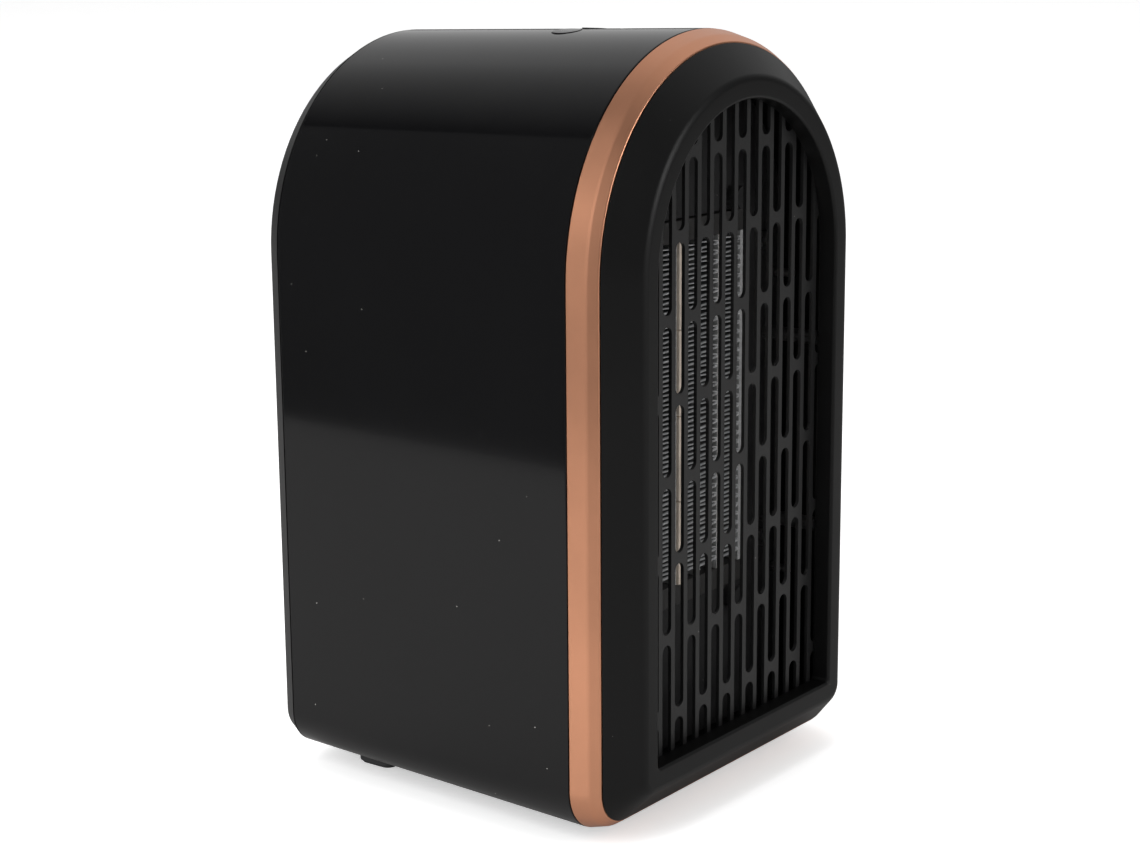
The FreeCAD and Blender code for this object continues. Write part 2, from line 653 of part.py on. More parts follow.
def front_grille():
    """The slotted plate: staggered columns of round-ended slots inside a solid rim."""
    field = doc.addObject("PartDesign::Body", "slot_field")
    plane = next(f for f in field.Origin.OriginFeatures if f.Role == "XZ_Plane")

    def sketch_on_plane(name):
        sketch = field.newObject("Sketcher::SketchObject", name)
        sketch.AttachmentSupport = [(plane, "")]
        sketch.MapMode = "FlatFace"
        sketch.setExpression("AttachmentOffset.Base.z", formula("-(y_grille_back)"))
        return sketch

    sheet = sketch_on_plane("grille_sheet")
    add_rectangle(sheet, "-(shell_half)", "shell_bottom", "2 * shell_half", "shell_top - shell_bottom")
    plate = field.newObject("PartDesign::Pad", "grille_plate")
    plate.Profile = sheet
    bind(plate, Length="grille_thick")

    for tag, first, base in (("odd", "0.5", "slot_base"), ("even", "1.5", "slot_base - slot_period / 2")):
        slot = sketch_on_plane(f"slot_{tag}")
        x = f"({first} - column_pairs) * slot_pitch"
        add_slot(slot, x, f"({base}) + slot_bridge / 2", "slot_width", "slot_height")
        pocket = field.newObject("PartDesign::Pocket", f"slot_cut_{tag}")
        pocket.Profile = slot
        pocket.Midplane = True
        bind(pocket, Length="grille_thick * 4")
        doc.recompute()
        pattern = field.newObject("PartDesign::MultiTransform", f"slots_{tag}")
        pattern.Originals = [pocket]
        across = doc.addObject("PartDesign::LinearPattern", f"across_{tag}")
        across.Direction = (slot, ["H_Axis"])
        across.Mode = "Extent"
        bind(across, Length="(column_pairs - 1) * slot_pitch * 2", Occurrences="column_pairs")
        up = doc.addObject("PartDesign::LinearPattern", f"up_{tag}")
        up.Direction = (slot, ["V_Axis"])
        up.Mode = "Extent"
        bind(up, Length="(slot_rows - 1) * slot_period", Occurrences="slot_rows")
        field.addObject(across)
        field.addObject(up)
        pattern.Transformations = [across, up]
        field.Tip = pattern
        doc.recompute()

    edge_corner = "recess_corner + grille_lap"
    outline = arch_body("grille_outline", ("plate", ("y_grille", "grille_edge", edge_corner),
                                           ("y_grille_back", "grille_edge", edge_corner), False))
    rim_corner = "recess_corner + grille_lap - grille_rim"
    rim = arch_body(
        "grille_rim",
        ("outer", ("y_grille", "grille_edge", edge_corner),
         ("y_grille_back", "grille_edge", edge_corner), False),
        ("inner", ("y_grille", "grille_edge + grille_rim", rim_corner),
         ("y_grille_back", "grille_edge + grille_rim", rim_corner), True),
    )
    return fuse("front_grille", common("slotted_plate", field, outline), rim)


def add_rectangle(sketch, x, z, width, height):
    """A rectangle in a sketch, from its lowest corner."""
    x0, z0 = number(x), number(z)
    x1, z1 = x0 + number(width), z0 + number(height)
    corners = [Vector(x0, z0, 0), Vector(x1, z0, 0), Vector(x1, z1, 0), Vector(x0, z1, 0)]
    for i in range(4):
        sketch.addGeometry(Part.LineSegment(corners[i], corners[(i + 1) % 4]), False)
    sketch.addConstraint([Sketcher.Constraint("Coincident", i, 2, (i + 1) % 4, 1) for i in range(4)])
    sketch.addConstraint([
        Sketcher.Constraint("Horizontal", 0), Sketcher.Constraint("Horizontal", 2),
        Sketcher.Constraint("Vertical", 1), Sketcher.Constraint("Vertical", 3),
    ])
    for label, constraint, text in (
        ("across", Sketcher.Constraint("DistanceX", -1, 1, 0, 1, x0), x),
        ("above", Sketcher.Constraint("DistanceY", -1, 1, 0, 1, z0), z),
        ("wide", Sketcher.Constraint("DistanceX", 0, 1, 0, 2, x1 - x0), width),
        ("tall", Sketcher.Constraint("DistanceY", 1, 1, 1, 2, z1 - z0), height),
    ):
        index = sketch.addConstraint(constraint)
        sketch.renameConstraint(index, label)
        sketch.setExpression(f"Constraints.{label}", formula(text))


def add_slot(sketch, x, z, width, height):
    """An upright round-ended slot in a sketch, centred on x, with its lower end at z."""
    cx, z0 = number(x), number(z)
    bend = number(width) / 2
    low, high = z0 + bend, z0 + number(height) - bend
    up = Vector(0, 0, 1)
    sketch.addGeometry([
        Part.ArcOfCircle(Part.Circle(Vector(cx, high, 0), up, bend), 0, math.pi),
        Part.LineSegment(Vector(cx - bend, high, 0), Vector(cx - bend, low, 0)),
        Part.ArcOfCircle(Part.Circle(Vector(cx, low, 0), up, bend), math.pi, 2 * math.pi),
        Part.LineSegment(Vector(cx + bend, low, 0), Vector(cx + bend, high, 0)),
    ], False)
    sketch.addConstraint([
        Sketcher.Constraint("Tangent", 0, 2, 1, 1),
        Sketcher.Constraint("Tangent", 1, 2, 2, 1),
        Sketcher.Constraint("Tangent", 2, 2, 3, 1),
        Sketcher.Constraint("Tangent", 3, 2, 0, 1),
        Sketcher.Constraint("Vertical", 1),
    ])
    for label, constraint, text in (
        ("bend", Sketcher.Constraint("Radius", 0, bend), f"({width}) / 2"),
        ("across", Sketcher.Constraint("DistanceX", -1, 1, 0, 3, cx), x),
        ("low", Sketcher.Constraint("DistanceY", -1, 1, 2, 3, low), f"({z}) + ({width}) / 2"),
        ("high", Sketcher.Constraint("DistanceY", -1, 1, 0, 3, high),
         f"({z}) + ({height}) - ({width}) / 2"),
    ):
        index = sketch.addConstraint(constraint)
        sketch.renameConstraint(index, label)
        sketch.setExpression(f"Constraints.{label}", formula(text))


def back_slots():
    """The cutters of the rear cover's intake slots."""
    cutters = []
    for column in range(int(number("intake_columns"))):
        x = f"({column} - (intake_columns - 1) / 2) * intake_pitch"
        for row in range(int(number("intake_rows"))):
            z = f"intake_low + {row} * intake_period"
            reach = "intake_length / 2 - intake_width / 2"
            name = f"intake_{column}_{row}"
            cutters.append(box(f"{name}_mid", f"{x} - intake_width / 2", "y_tail - 10",
                               f"{z} - ({reach})", "intake_width", "30", f"2 * ({reach})"))
            for end, sign in (("low", "-"), ("high", "+")):
                cutters.append(rod(f"{name}_{end}", "y", x, "y_tail - 10", f"{z} {sign} ({reach})",
                                   "intake_width / 2", "30"))
    return cutters


def rear_cover():
    """The domed rear cover: intake slots, four screw wells and the cord gland's seat."""
    end_inset = "(tail_inset + back_lean)"
    plug = "(tail_wall + fit_gap)"
    body = arch_body(
        "cover_shell",
        ("dome", ("y_tail + groove", "tail_inset", "shell_corner - shell_draft"),
         ("y_back", end_inset, f"shell_corner - {end_inset}"), False),
        ("plug", ("y_cover_boss", plug, f"shell_corner - {plug}"),
         ("y_tail + groove", plug, f"shell_corner - {plug}"), False),
        ("hollow", ("y_cover_boss", f"{plug} + back_wall", f"shell_corner - {plug} - back_wall"),
         ("y_back - back_wall", f"{plug} + back_wall", f"shell_corner - {plug} - back_wall"), True),
    )
    back = number("y_back")
    round_edges(body, "cover_round", "back_round", lambda e: lies_at(e, back))
    wells = [
        rod(f"well_{name}", "y", x, "y_cover_boss", z, "head_radius + screw_clear + 1.2",
            "y_back - back_round - y_cover_boss")
        for name, x, z in boss_points()
    ]
    outline = arch_body(
        "cover_outline",
        ("limit", ("y_cover_boss", plug, f"shell_corner - {plug}"),
         ("y_back", end_inset, f"shell_corner - {end_inset}"), False),
    )
    seat = rod("gland_pad", "y", "0", "y_back - 6", "gland_height", "gland_flange + 2", "6")
    blank = fuse("cover_blank", body, common("well_columns", fuse("wells_long", *wells), outline), seat)
    tools = back_slots()
    for name, x, z in boss_points():
        tools.append(rod(f"cover_hole_{name}", "y", x, "y_cover_boss - 1", z, "clear_radius", "20"))
        tools.append(rod(f"cover_bore_{name}", "y", x, "y_tail", z, "head_radius + screw_clear", "20"))
    tools.append(rod("gland_hole", "y", "0", "y_back - 20", "gland_height", "gland_neck + 0.1", "30"))
    tools.append(rod("gland_counterbore", "y", "0", "gland_seat", "gland_height",
                     "gland_flange + 0.2", "10"))
    return cut("rear_cover", blank, *tools)


def cover_screws():
    """The four screws of the rear cover."""
    return group("rear_cover_screws", [
        screw(f"cover_screw_{name}", "y", x, "y_tail", z, -1, "screw_length + back_plug")
        for name, x, z in boss_points()
    ])


def cord_gland():
    """The rubber gland in the rear cover that a supply cord passes through."""
    solid = fuse(
        "gland_solid",
        rod("gland_collar", "y", "0", "gland_seat", "gland_height", "gland_flange", "gland_flange_thick"),
        rod("gland_stem", "y", "0", "y_back - gland_length", "gland_height", "gland_neck",
            "gland_length"),
    )
    return cut("cord_gland", solid,
               rod("gland_way", "y", "0", "y_back - gland_length", "gland_height", "gland_bore",
                   "gland_length"))


def foot(name, x, y, back):
    """A rubber foot: pad, peg through the casing and barb above it."""
    pad = rounded_pad(f"foot_{name}", x, y, "foot_edge", "foot_length", "foot_width",
                      "foot_height - foot_edge", "foot_round")
    sole = rounded_pad(f"sole_{name}", x, y, "0", "foot_length - 2 * foot_edge",
                       "foot_width - 2 * foot_edge", "foot_edge", "(foot_round - foot_edge)")
    ceiling = f"(shell_bottom + draft_rate * ({back}) + shell_wall + 0.15)"
    peg = rod(f"peg_{name}", "z", x, y, "foot_height", "peg_radius", f"{ceiling} - foot_height")
    barb = rod(f"barb_{name}", "z", x, y, ceiling, "barb_radius", "barb_height")
    return fuse(f"foot_{name}", pad, sole, peg, barb)


# ---------------------------------------------------------------- heater
def ear_points():
    """The four screws that hold the element's caps on the frame."""
    return [
        (f"{end}_{side}", f"{sign}bar_pitch * 1.3", z)
        for end, z in (("low", "window_low - cap_flange / 2"), ("high", "window_high + cap_flange / 2"))
        for side, sign in (("left", "-"), ("right", ""))
    ]


def pillar_points():
    """The four pillars between heater frame and fan shroud."""
    return [
        (f"{end}_{side}", f"{sign}(pillar_side)", f"fan_height {step} pillar_reach")
        for end, step in (("low", "-"), ("high", "+"))
        for side, sign in (("left", "-"), ("right", ""))
    ]


def heater_frame():
    """The plate that carries the heating element and backs the grille."""
    corner = "shell_corner - frame_edge"
    plate = arch_body("frame_plate", ("plate", ("y_frame", "frame_edge", corner),
                                      ("y_frame_back", "frame_edge", corner), False))
    posts = [
        rod(f"post_{side}_{level}", "y", f"{sign}(post_side)", "y_grille_back", z, "post_radius",
            "y_frame - y_grille_back + 1")
        for side, sign in (("left", "-"), ("right", ""))
        for level, z in (("low", "low_boss + 20"), ("high", "high_boss - 20"))
    ]
    ears = [
        rod(f"ear_boss_{name}", "y", x, "y_frame - 5", z, "boss_radius", "6") for name, x, z in ear_points()
    ]
    tools = [
        mid_box("frame_window", "0", "y_frame - 10", "window_low", "2 * window_half", "30",
                "window_high - window_low"),
    ]
    for name, x, z in bezel_bosses():
        tools.append(rod(f"frame_hole_{name}", "y", x, "y_frame - 1", z, "clear_radius", "10"))
    for name, x, z in pillar_points():
        tools.append(rod(f"pillar_hole_{name}", "y", x, "y_frame - 1", z, "clear_radius", "10"))
    for name, x, z in ear_points():
        tools.append(rod(f"ear_pilot_{name}", "y", x, "y_frame - 4.5", z, "pilot_radius", "10"))
    return cut("heater_frame", fuse("frame_blank", plate, *posts, *ears), *tools)


def frame_screws():
    """The screws of the heater frame: four into the bezel and four into the shroud's pillars."""
    rear = [screw(f"bezel_screw_{name}", "y", x, "y_frame_back", z, -1) for name, x, z in bezel_bosses()]
    front = [screw(f"pillar_screw_{name}", "y", x, "y_frame", z, 1) for name, x, z in pillar_points()]
    return group("frame_screws", rear + front)


def bar_places():
    """The three heating bars across the element."""
    return [("left", "(-bar_pitch)"), ("middle", "0"), ("right", "bar_pitch")]


def ceramic_bar(name, x):
    """One row of ceramic stones."""
    stone = "((element_height - (stone_count - 1) * stone_gap) / stone_count)"
    return group(f"ceramic_bar_{name}", [
        mid_box(f"stone_{name}_{i}", x, "y_element - stone_proud",
                f"z_fins + {i} * ({stone} + stone_gap)", "stone_width", "element_depth + stone_proud",
                stone)
        for i in range(int(number("stone_count")))
    ])


def electrodes(name, x):
    """The two contact plates of a bar, each with a terminal tab that comes out under the lower cap."""
    plates = []
    for side, offset in (("a", "-(stone_width / 2 + electrode)"), ("b", "stone_width / 2")):
        plate = box(f"plate_{name}_{side}", f"{x} + {offset}", "y_element", "z_fins", "electrode",
                    "element_depth", "element_height")
        tab = box(f"tab_{name}_{side}", f"{x} + {offset}", "y_element + element_depth - 1 - tab_width",
                  "z_fins - cap_height - tab_height", "electrode", "tab_width",
                  "cap_height + tab_height")
        plates.append(fuse(f"electrode_{name}_{side}", plate, tab))
    return group(f"electrodes_{name}", plates)


def fin_places():
    """The six fin banks: a name and the lower x of each."""
    places = []
    for name, x in bar_places():
        places.append((f"{name}_a", f"{x} - bar_half - fin_width"))
        places.append((f"{name}_b", f"{x} + bar_half"))
    return places


def ribbon(points, thickness):
    """The closed outline of a strip of even thickness along a line of points in the xz plane."""
    sides = ([], [])
    for i, point in enumerate(points):
        before = (point - points[max(i - 1, 0)]) if i else (points[1] - point)
        after = (points[i + 1] - point) if i + 1 < len(points) else before
        before.normalize()
        after.normalize()
        normal = Vector(-before.z - after.z, 0, before.x + after.x)
        normal.normalize()
        reach = thickness / 2 / (normal.x * -before.z + normal.z * before.x)
        sides[0].append(point + normal * reach)
        sides[1].append(point - normal * reach)
    outline = sides[0] + sides[1][::-1]
    return Part.Face(Part.makePolygon(outline + outline[:1]))


def fin_bank(name, x):
    """A folded fin strip as one solid: a flat-topped zigzag across the bank, as deep as the element."""
    width, period, sheet = number("fin_width"), number("fin_period"), number("fin_sheet")
    land, height, depth = number("fin_land"), number("element_height"), number("element_depth")
    folds = int((height - land) // period)
    low = (height - folds * period - land) / 2
    near, far = sheet / 2, width - sheet / 2
    points = []
    for fold in range(folds):
        z = low + fold * period
        points += [Vector(near, 0, z), Vector(near, 0, z + land)]
        points += [Vector(far, 0, z + period / 2), Vector(far, 0, z + period / 2 + land)]
    z = low + folds * period
    points += [Vector(near, 0, z), Vector(near, 0, z + land)]
    bank = made(f"fin_bank_{name}", ribbon(points, sheet).extrude(Vector(0, depth, 0)))
    return place(bank, x, "y_element", "z_fins")


def dividers():
    """The plates between neighbouring fin banks and the rails outside the outer banks."""
    plates = []
    for side, x in (("left", "-bar_pitch / 2"), ("right", "bar_pitch / 2")):
        plates.append(mid_box(f"divider_{side}", x, "y_element", "z_fins", "divider", "element_depth",
                              "element_height"))
    for side, x in (("left", "-(element_half - side_rail / 2)"), ("right", "element_half - side_rail / 2")):
        plates.append(mid_box(f"side_rail_{side}", x, "y_element", "z_fins", "side_rail",
                              "element_depth", "element_height"))
    return plates


def element_cap(name, z, ear_z):
    """A moulded cap across one end of the element, with its fixing ears behind the frame."""
    cap = mid_box(f"cap_{name}", "0", "y_element", z, "2 * (element_half + cap_side)", "element_depth",
                  "cap_height")
    ear = mid_box(f"cap_ear_{name}", "0", "y_frame_back", ear_z, "2 * (bar_pitch * 1.3 + boss_radius + 1)",
                  "y_element + element_depth - y_frame_back", "cap_flange + cap_height + frame_window_gap")
    tools = []
    for spot, x, screw_z in ear_points():
        if spot.startswith(name):
            tools.append(rod(f"cap_hole_{spot}", "y", x, "y_frame_back - 1", screw_z, "clear_radius", "6"))
            tools.append(rod(f"cap_bore_{spot}", "y", x, "y_frame_back + 3", screw_z,
                             "head_radius + screw_clear", "20"))
    if name == "low":
        for side, x in bar_places():
            tools.append(mid_box(f"cap_slot_{side}", x, "y_element + 0.8", f"{ear_z} - 1",
                                 "2 * bar_half + fit_gap", "element_depth - 1.6",
                                 "cap_height + cap_flange + frame_window_gap + 2"))
    return cut(f"element_cap_{name}", fuse(f"cap_blank_{name}", cap, ear), *tools)


def element_screws():
    """The four screws through the caps' ears."""
    return group("element_screws", [
        screw(f"ear_screw_{name}", "y", x, "y_frame_back + 3", z, -1) for name, x, z in ear_points()
    ])


def thermal_cutout():
    """A disc thermostat on the rear of the frame, above the element, with two tabs."""
    z = "duct_high + duct_wall + fit_gap + 8"
    disc = rod("cutout_disc", "y", "0", "y_frame_back", z, "8", "6")
    strap = mid_box("cutout_strap", "0", "y_frame_back", f"{z} - 3", "24", "0.8", "6")
    tabs = [
        mid_box(f"cutout_tab_{side}", f"{sign}4.2", "y_frame_back + 5", f"{z} - 2.4", "tab_thick",
                "1 + tab_height", "4.8")
        for side, sign in (("left", "-"), ("right", ""))
    ]
    return fuse("thermal_cutout", disc, strap, *tabs)


def air_duct():
    """The four-sided duct between the heater frame and the fan shroud."""
    outer = mid_box("duct_outer", "0", "y_frame_back", "duct_low - duct_wall",
                    "2 * (duct_half + duct_wall)", "y_shroud - y_frame_back",
                    "duct_high - duct_low + 2 * duct_wall")
    inner = mid_box("duct_inner", "0", "y_frame_back - 1", "duct_low", "2 * duct_half",
                    "y_shroud - y_frame_back + 2", "duct_high - duct_low")
    return cut("air_duct", outer, inner)


# ---------------------------------------------------------------- fan
def fan_shroud():
    """The shroud: a plate across the casing, a ring round the fan, front pillars and a motor spider."""
    corner = "shell_corner - shroud_edge"
    plate = arch_body("shroud_sheet", ("plate", ("y_shroud", "shroud_edge", corner),
                                       ("y_shroud_back", "shroud_edge", corner), False))
    head = mid_box("shroud_head", "0", "y_shroud - 5", "shroud_top", "2 * shell_half", "30", "60")
    ring = rod("shroud_tube", "y", "0", "y_shroud", "fan_height", "shroud_bore + shroud_wall",
               "y_spider_back - y_shroud")
    bore = rod("shroud_way", "y", "0", "y_shroud - 1", "fan_height", "shroud_bore",
               "y_spider_back - y_shroud + 2")
    shell = cut("shroud_shell", fuse("shroud_blank", cut("shroud_plate_cut", plate, head), ring), bore)
    disc = rod("spider_plate", "y", "0", "y_spider", "fan_height", "spider_disc", "spider_thick")
    arms = [
        mid_box("spider_upright", "0", "y_spider", "fan_height - shroud_bore - 1", "spider_arm",
                "spider_thick", "2 * (shroud_bore + 1)"),
        box("spider_level", "-(shroud_bore + 1)", "y_spider", "fan_height - spider_arm / 2",
            "2 * (shroud_bore + 1)", "spider_thick", "spider_arm"),
    ]
    pillars = [
        rod(f"pillar_{name}", "y", x, "y_frame_back", z, "pillar_radius", "y_shroud - y_frame_back + 1")
        for name, x, z in pillar_points()
    ]
    tools = [rod("spider_eye", "y", "0", "y_spider - 1", "fan_height", "bush_radius + 0.5", "10")]
    for name, x, z in pillar_points():
        tools.append(rod(f"pillar_pilot_{name}", "y", x, "y_frame_back - 1", z, "pilot_radius",
                         "screw_length"))
    for side, sign in (("left", "-"), ("right", "")):
        tools.append(rod(f"spider_hole_{side}", "y", f"{sign}motor_screw_offset", "y_spider - 1",
                         "fan_height", "clear_radius", "10"))
    return cut("fan_shroud", fuse("shroud_solid", shell, disc, *arms, *pillars), *tools)


def blade(index):
    """One twisted blade, from inside the hub's wall to just past the tip radius."""
    rise = number("fan_depth / 2 - blade_thick")
    rings = []
    for reach, angle in (
        ("hub_radius - hub_wall - 0.5", "blade_root_angle"),
        ("(hub_radius + fan_radius) / 2", "(blade_root_angle + blade_tip_angle) / 2"),
        ("fan_radius + 1", "blade_tip_angle"),
    ):
        slant = math.radians(number(angle))
        along = Vector(rise / math.tan(slant), rise, number(reach))
        back = Vector(-along.x, -along.y, along.z)
        across = Vector(-math.sin(slant), math.cos(slant), 0) * number("blade_thick / 2")
        corners = [along + across, back + across, back - across, along - across]
        rings.append(Part.makePolygon(corners + corners[:1]))
    solid = made(f"blade_{index}", Part.makeLoft(rings, True, False))
    turn = Rotation(Vector(0, 1, 0), index * 360 / number("blade_count"))
    return place(solid, "0", "y_fan + fan_depth / 2", "fan_height", turn)


def fan_impeller():
    """The axial fan: a cupped hub with a bored core, and its blades."""
    hub = rod("hub_drum", "y", "0", "y_fan", "fan_height", "hub_radius", "fan_depth")
    cup = rod("hub_cup", "y", "0", "y_fan + hub_wall", "fan_height", "hub_radius - hub_wall", "fan_depth")
    core = rod("hub_core_rod", "y", "0", "y_fan + hub_wall / 2", "fan_height", "hub_core",
               "fan_depth - hub_wall / 2")
    bore = rod("hub_bore", "y", "0", "y_fan + hub_wall", "fan_height", "shaft_radius", "fan_depth")
    blades = [blade(i) for i in range(int(number("blade_count")))]
    reach = cut(
        "blade_reach",
        rod("blade_reach_outer", "y", "0", "y_fan", "fan_height", "fan_radius", "fan_depth"),
        rod("blade_reach_inner", "y", "0", "y_fan - 1", "fan_height", "hub_radius - hub_wall / 2",
            "fan_depth + 2"),
    )
    blades = [common(f"blade_trim_{i}", part, reach) for i, part in enumerate(blades)]
    return cut("fan_impeller", fuse("fan_solid", cut("hub_shell", hub, cup), core, *blades), bore)


def motor_parts():
    """The fan motor: can, two bushes and a ring magnet fixed to the shroud; rotor and shaft on the fan."""
    shell = cut(
        "motor_can",
        rod("can_outer", "y", "0", "y_motor", "fan_height", "motor_radius", "motor_length"),
        rod("can_inner", "y", "0", "y_motor + motor_wall", "fan_height", "magnet_outer",
            "motor_length - 2 * motor_wall"),
        rod("can_eye", "y", "0", "y_motor - 1", "fan_height", "bush_radius", "motor_length + 2"),
        *[rod(f"can_pilot_{side}", "y", f"{sign}motor_screw_offset", "y_motor - 1", "fan_height",
              "pilot_radius", "4") for side, sign in (("left", "-"), ("right", ""))],
    )
    bushes = group("motor_bushes", [
        cut(f"bush_{end}", rod(f"bush_{end}_outer", "y", "0", y, "fan_height", "bush_radius", "bush_length"),
            rod(f"bush_{end}_bore", "y", "0", y, "fan_height", "bush_bore", "bush_length"))
        for end, y in (("front", "y_motor"), ("rear", "y_motor_back - bush_length"))
    ])
    magnet = cut(
        "motor_magnet",
        rod("magnet_body", "y", "0", "y_rotor", "fan_height", "magnet_outer", "rotor_length"),
        rod("magnet_way", "y", "0", "y_rotor", "fan_height", "magnet_inner", "rotor_length"),
    )
    rotor = cut(
        "motor_rotor",
        rod("rotor_body", "y", "0", "y_rotor", "fan_height", "rotor_radius", "rotor_length"),
        rod("rotor_way", "y", "0", "y_rotor", "fan_height", "shaft_radius", "rotor_length"),
    )
    shaft = rod("motor_shaft", "y", "0", "y_fan + hub_wall", "fan_height", "shaft_radius",
                "y_motor_back + 1.5 - y_fan - hub_wall")
    screws = group("motor_screws", [
        screw(f"motor_screw_{side}", "y", f"{sign}motor_screw_offset", "y_spider", "fan_height", 1,
              "spider_thick + 3.5")
        for side, sign in (("left", "-"), ("right", ""))
    ])
    return [shell, bushes, magnet, rotor, shaft, screws]


# ---------------------------------------------------------------- controls
def button_places():
    """The two push buttons: power on the left, mode on the right."""
    return [("power", "(-button_side)"), ("mode", "button_side")]


def control_board():
    """The circuit board under the crown, with its four screw holes."""
    blank = mid_box("board_blank", "0", "y_board", "board_height", "2 * board_half", "board_length",
                    "board_thick")
    holes = [
        rod(f"board_hole_{name}", "z", x, y, "board_height - 1", "clear_radius", "5")
        for name, x, y in board_points()
    ]
    return cut("control_board", blank, *holes)


def board_screws():
    """The four screws that hold the board up to the casing's bosses."""
    return group("board_screws", [
        screw(f"board_screw_{name}", "z", x, y, "board_height", 1, "screw_length - 2")
        for name, x, y in board_points()
    ])


def button(name, x):
    """A push button: cap that follows the arch, flange under the casing, stem to its key switch."""
    blank = rod(f"cap_blank_{name}", "z", x, "y_button", "z_flange - button_flange_thick",
                "button_radius", "10")
    reach = rod(f"cap_reach_{name}", "y", "0", "y_button - 10", "shell_middle",
                "shell_half - draft_rate * button_setback + button_proud", "20")
    cap = common(f"cap_{name}", blank, reach)
    flange = rod(f"flange_{name}", "z", x, "y_button", "z_flange - button_flange_thick",
                 "button_radius + button_flange", "button_flange_thick")
    stem = rod(f"stem_{name}", "z", x, "y_button", "z_plunger", "stem_radius",
               "z_flange - button_flange_thick - z_plunger")
    return fuse(f"{name}_button", cap, flange, stem)


def key_switch(name, x):
    """The body of a key switch, with the well its plunger sinks into."""
    body = mid_box(f"key_body_{name}", x, "y_button - tact_side / 2", "z_board", "tact_side", "tact_side",
                   "tact_height")
    well = rod(f"key_well_{name}", "z", x, "y_button", "z_tact - plunger_sunk - button_travel - 0.4",
               "plunger_radius + button_gap", "5")
    return cut(f"{name}_key_switch", body, well)


def plunger(name, x):
    """The plunger of a key switch, which moves with its button."""
    return rod(f"{name}_plunger", "z", x, "y_button", "z_tact - plunger_sunk", "plunger_radius",
               "plunger_proud + plunger_sunk")


def indicator():
    """The light pipe in the crown and the lamp below it."""
    lamp = mid_box("indicator_lamp", "0", "y_lens - led_side / 2", "z_board", "led_side", "led_side",
                   "led_height")
    lens = rod("indicator_lens", "z", "0", "y_lens", "z_board + led_height", "lens_radius",
               "z_roof_lens - z_board - led_height")
    return [lamp, lens]


def board_parts():
    """The relay and the suppression capacitor under the board."""
    relay = mid_box("relay", "-9", "y_board + 20", "board_height - 15", "15", "19", "15")
    capacitor = mid_box("capacitor", "9", "y_board + 22", "board_height - 12", "7", "15", "12")
    return [relay, capacitor]


def tilt_switch():
    """The tip-over switch on a bracket, standing on the casing's floor."""
    floor = "(shell_bottom + shell_wall + draft_rate * 84 + 0.1)"
    case = mid_box("tilt_case", "-26", "y_seam + 68", f"{floor} + 2", "16", "14", "18")
    base = mid_box("tilt_base", "-26", "y_seam + 66", floor, "26", "18", "2")
    return fuse("tilt_switch", case, base)


# ---------------------------------------------------------------- the whole heater
def build():
    """Makes every sub-part and returns those that get a file."""
    nodes = [main_shell(), rear_cover(), trim_ring(), front_bezel(), front_grille()]
    nodes += [cover_screws(), cord_gland()]
    nodes += [foot(name, x, y, back) for name, x, y, back in feet_points()]
    nodes += [heater_frame(), frame_screws(), air_duct(), thermal_cutout()]
    for name, x in bar_places():
        nodes += [ceramic_bar(name, x), electrodes(name, x)]
    nodes += [fin_bank(name, x) for name, x in fin_places()]
    nodes += dividers()
    nodes.append(element_cap("low", "z_fins - cap_height", "window_low - cap_flange"))
    nodes.append(element_cap("high", "z_fins_top", "z_fins_top"))
    nodes.append(element_screws())
    nodes += [fan_shroud(), fan_impeller()] + motor_parts()
    nodes += [control_board(), board_screws()]
    for name, x in button_places():
        nodes += [button(name, x), key_switch(name, x), plunger(name, x)]
    return nodes + indicator() + board_parts() + [tilt_switch()]


def write(nodes):
    """Checks every object and writes each sub-part under its label."""
    doc.recompute()
    for thing in doc.Objects:
        if "Invalid" in thing.State or "Error" in thing.State:
            raise RuntimeError(f"{thing.Name} is {thing.State}")
    os.makedirs("parts", exist_ok=True)
    for thing in nodes:
        thing.Label = thing.Name
        if thing.Shape.isNull() or not thing.Shape.isValid():
            raise RuntimeError(f"{thing.Name} has no valid shape")
        thing.Shape.exportStep(f"parts/{thing.Label}.step")


write(build())
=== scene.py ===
import math

import bmesh
import bpy
from bpy.props import FloatProperty, FloatVectorProperty, IntProperty, PointerProperty
from mathutils import Matrix, Vector


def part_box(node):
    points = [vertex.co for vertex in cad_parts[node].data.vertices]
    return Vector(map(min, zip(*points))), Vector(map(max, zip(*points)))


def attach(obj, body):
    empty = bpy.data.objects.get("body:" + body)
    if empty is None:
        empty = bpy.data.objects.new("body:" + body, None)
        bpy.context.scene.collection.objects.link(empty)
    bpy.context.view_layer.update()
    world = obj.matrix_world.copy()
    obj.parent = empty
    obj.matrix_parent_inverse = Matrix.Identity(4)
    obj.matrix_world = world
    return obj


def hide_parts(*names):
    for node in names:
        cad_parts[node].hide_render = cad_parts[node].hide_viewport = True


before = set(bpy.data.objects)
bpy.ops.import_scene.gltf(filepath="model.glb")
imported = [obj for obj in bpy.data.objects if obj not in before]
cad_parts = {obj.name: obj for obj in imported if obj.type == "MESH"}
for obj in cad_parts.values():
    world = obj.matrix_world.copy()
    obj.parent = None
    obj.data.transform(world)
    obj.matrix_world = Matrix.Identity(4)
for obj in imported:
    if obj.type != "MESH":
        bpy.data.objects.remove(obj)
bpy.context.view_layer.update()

bl_info = {
    "name": "Desktop Ceramic Heater",
    "version": (1, 0, 0),
    "blender": (4, 5, 0),
    "location": "View3D > Sidebar > Heater",
    "description": "Builds the finished surfaces of an arched ceramic heater round its solid model",
    "category": "Object",
}

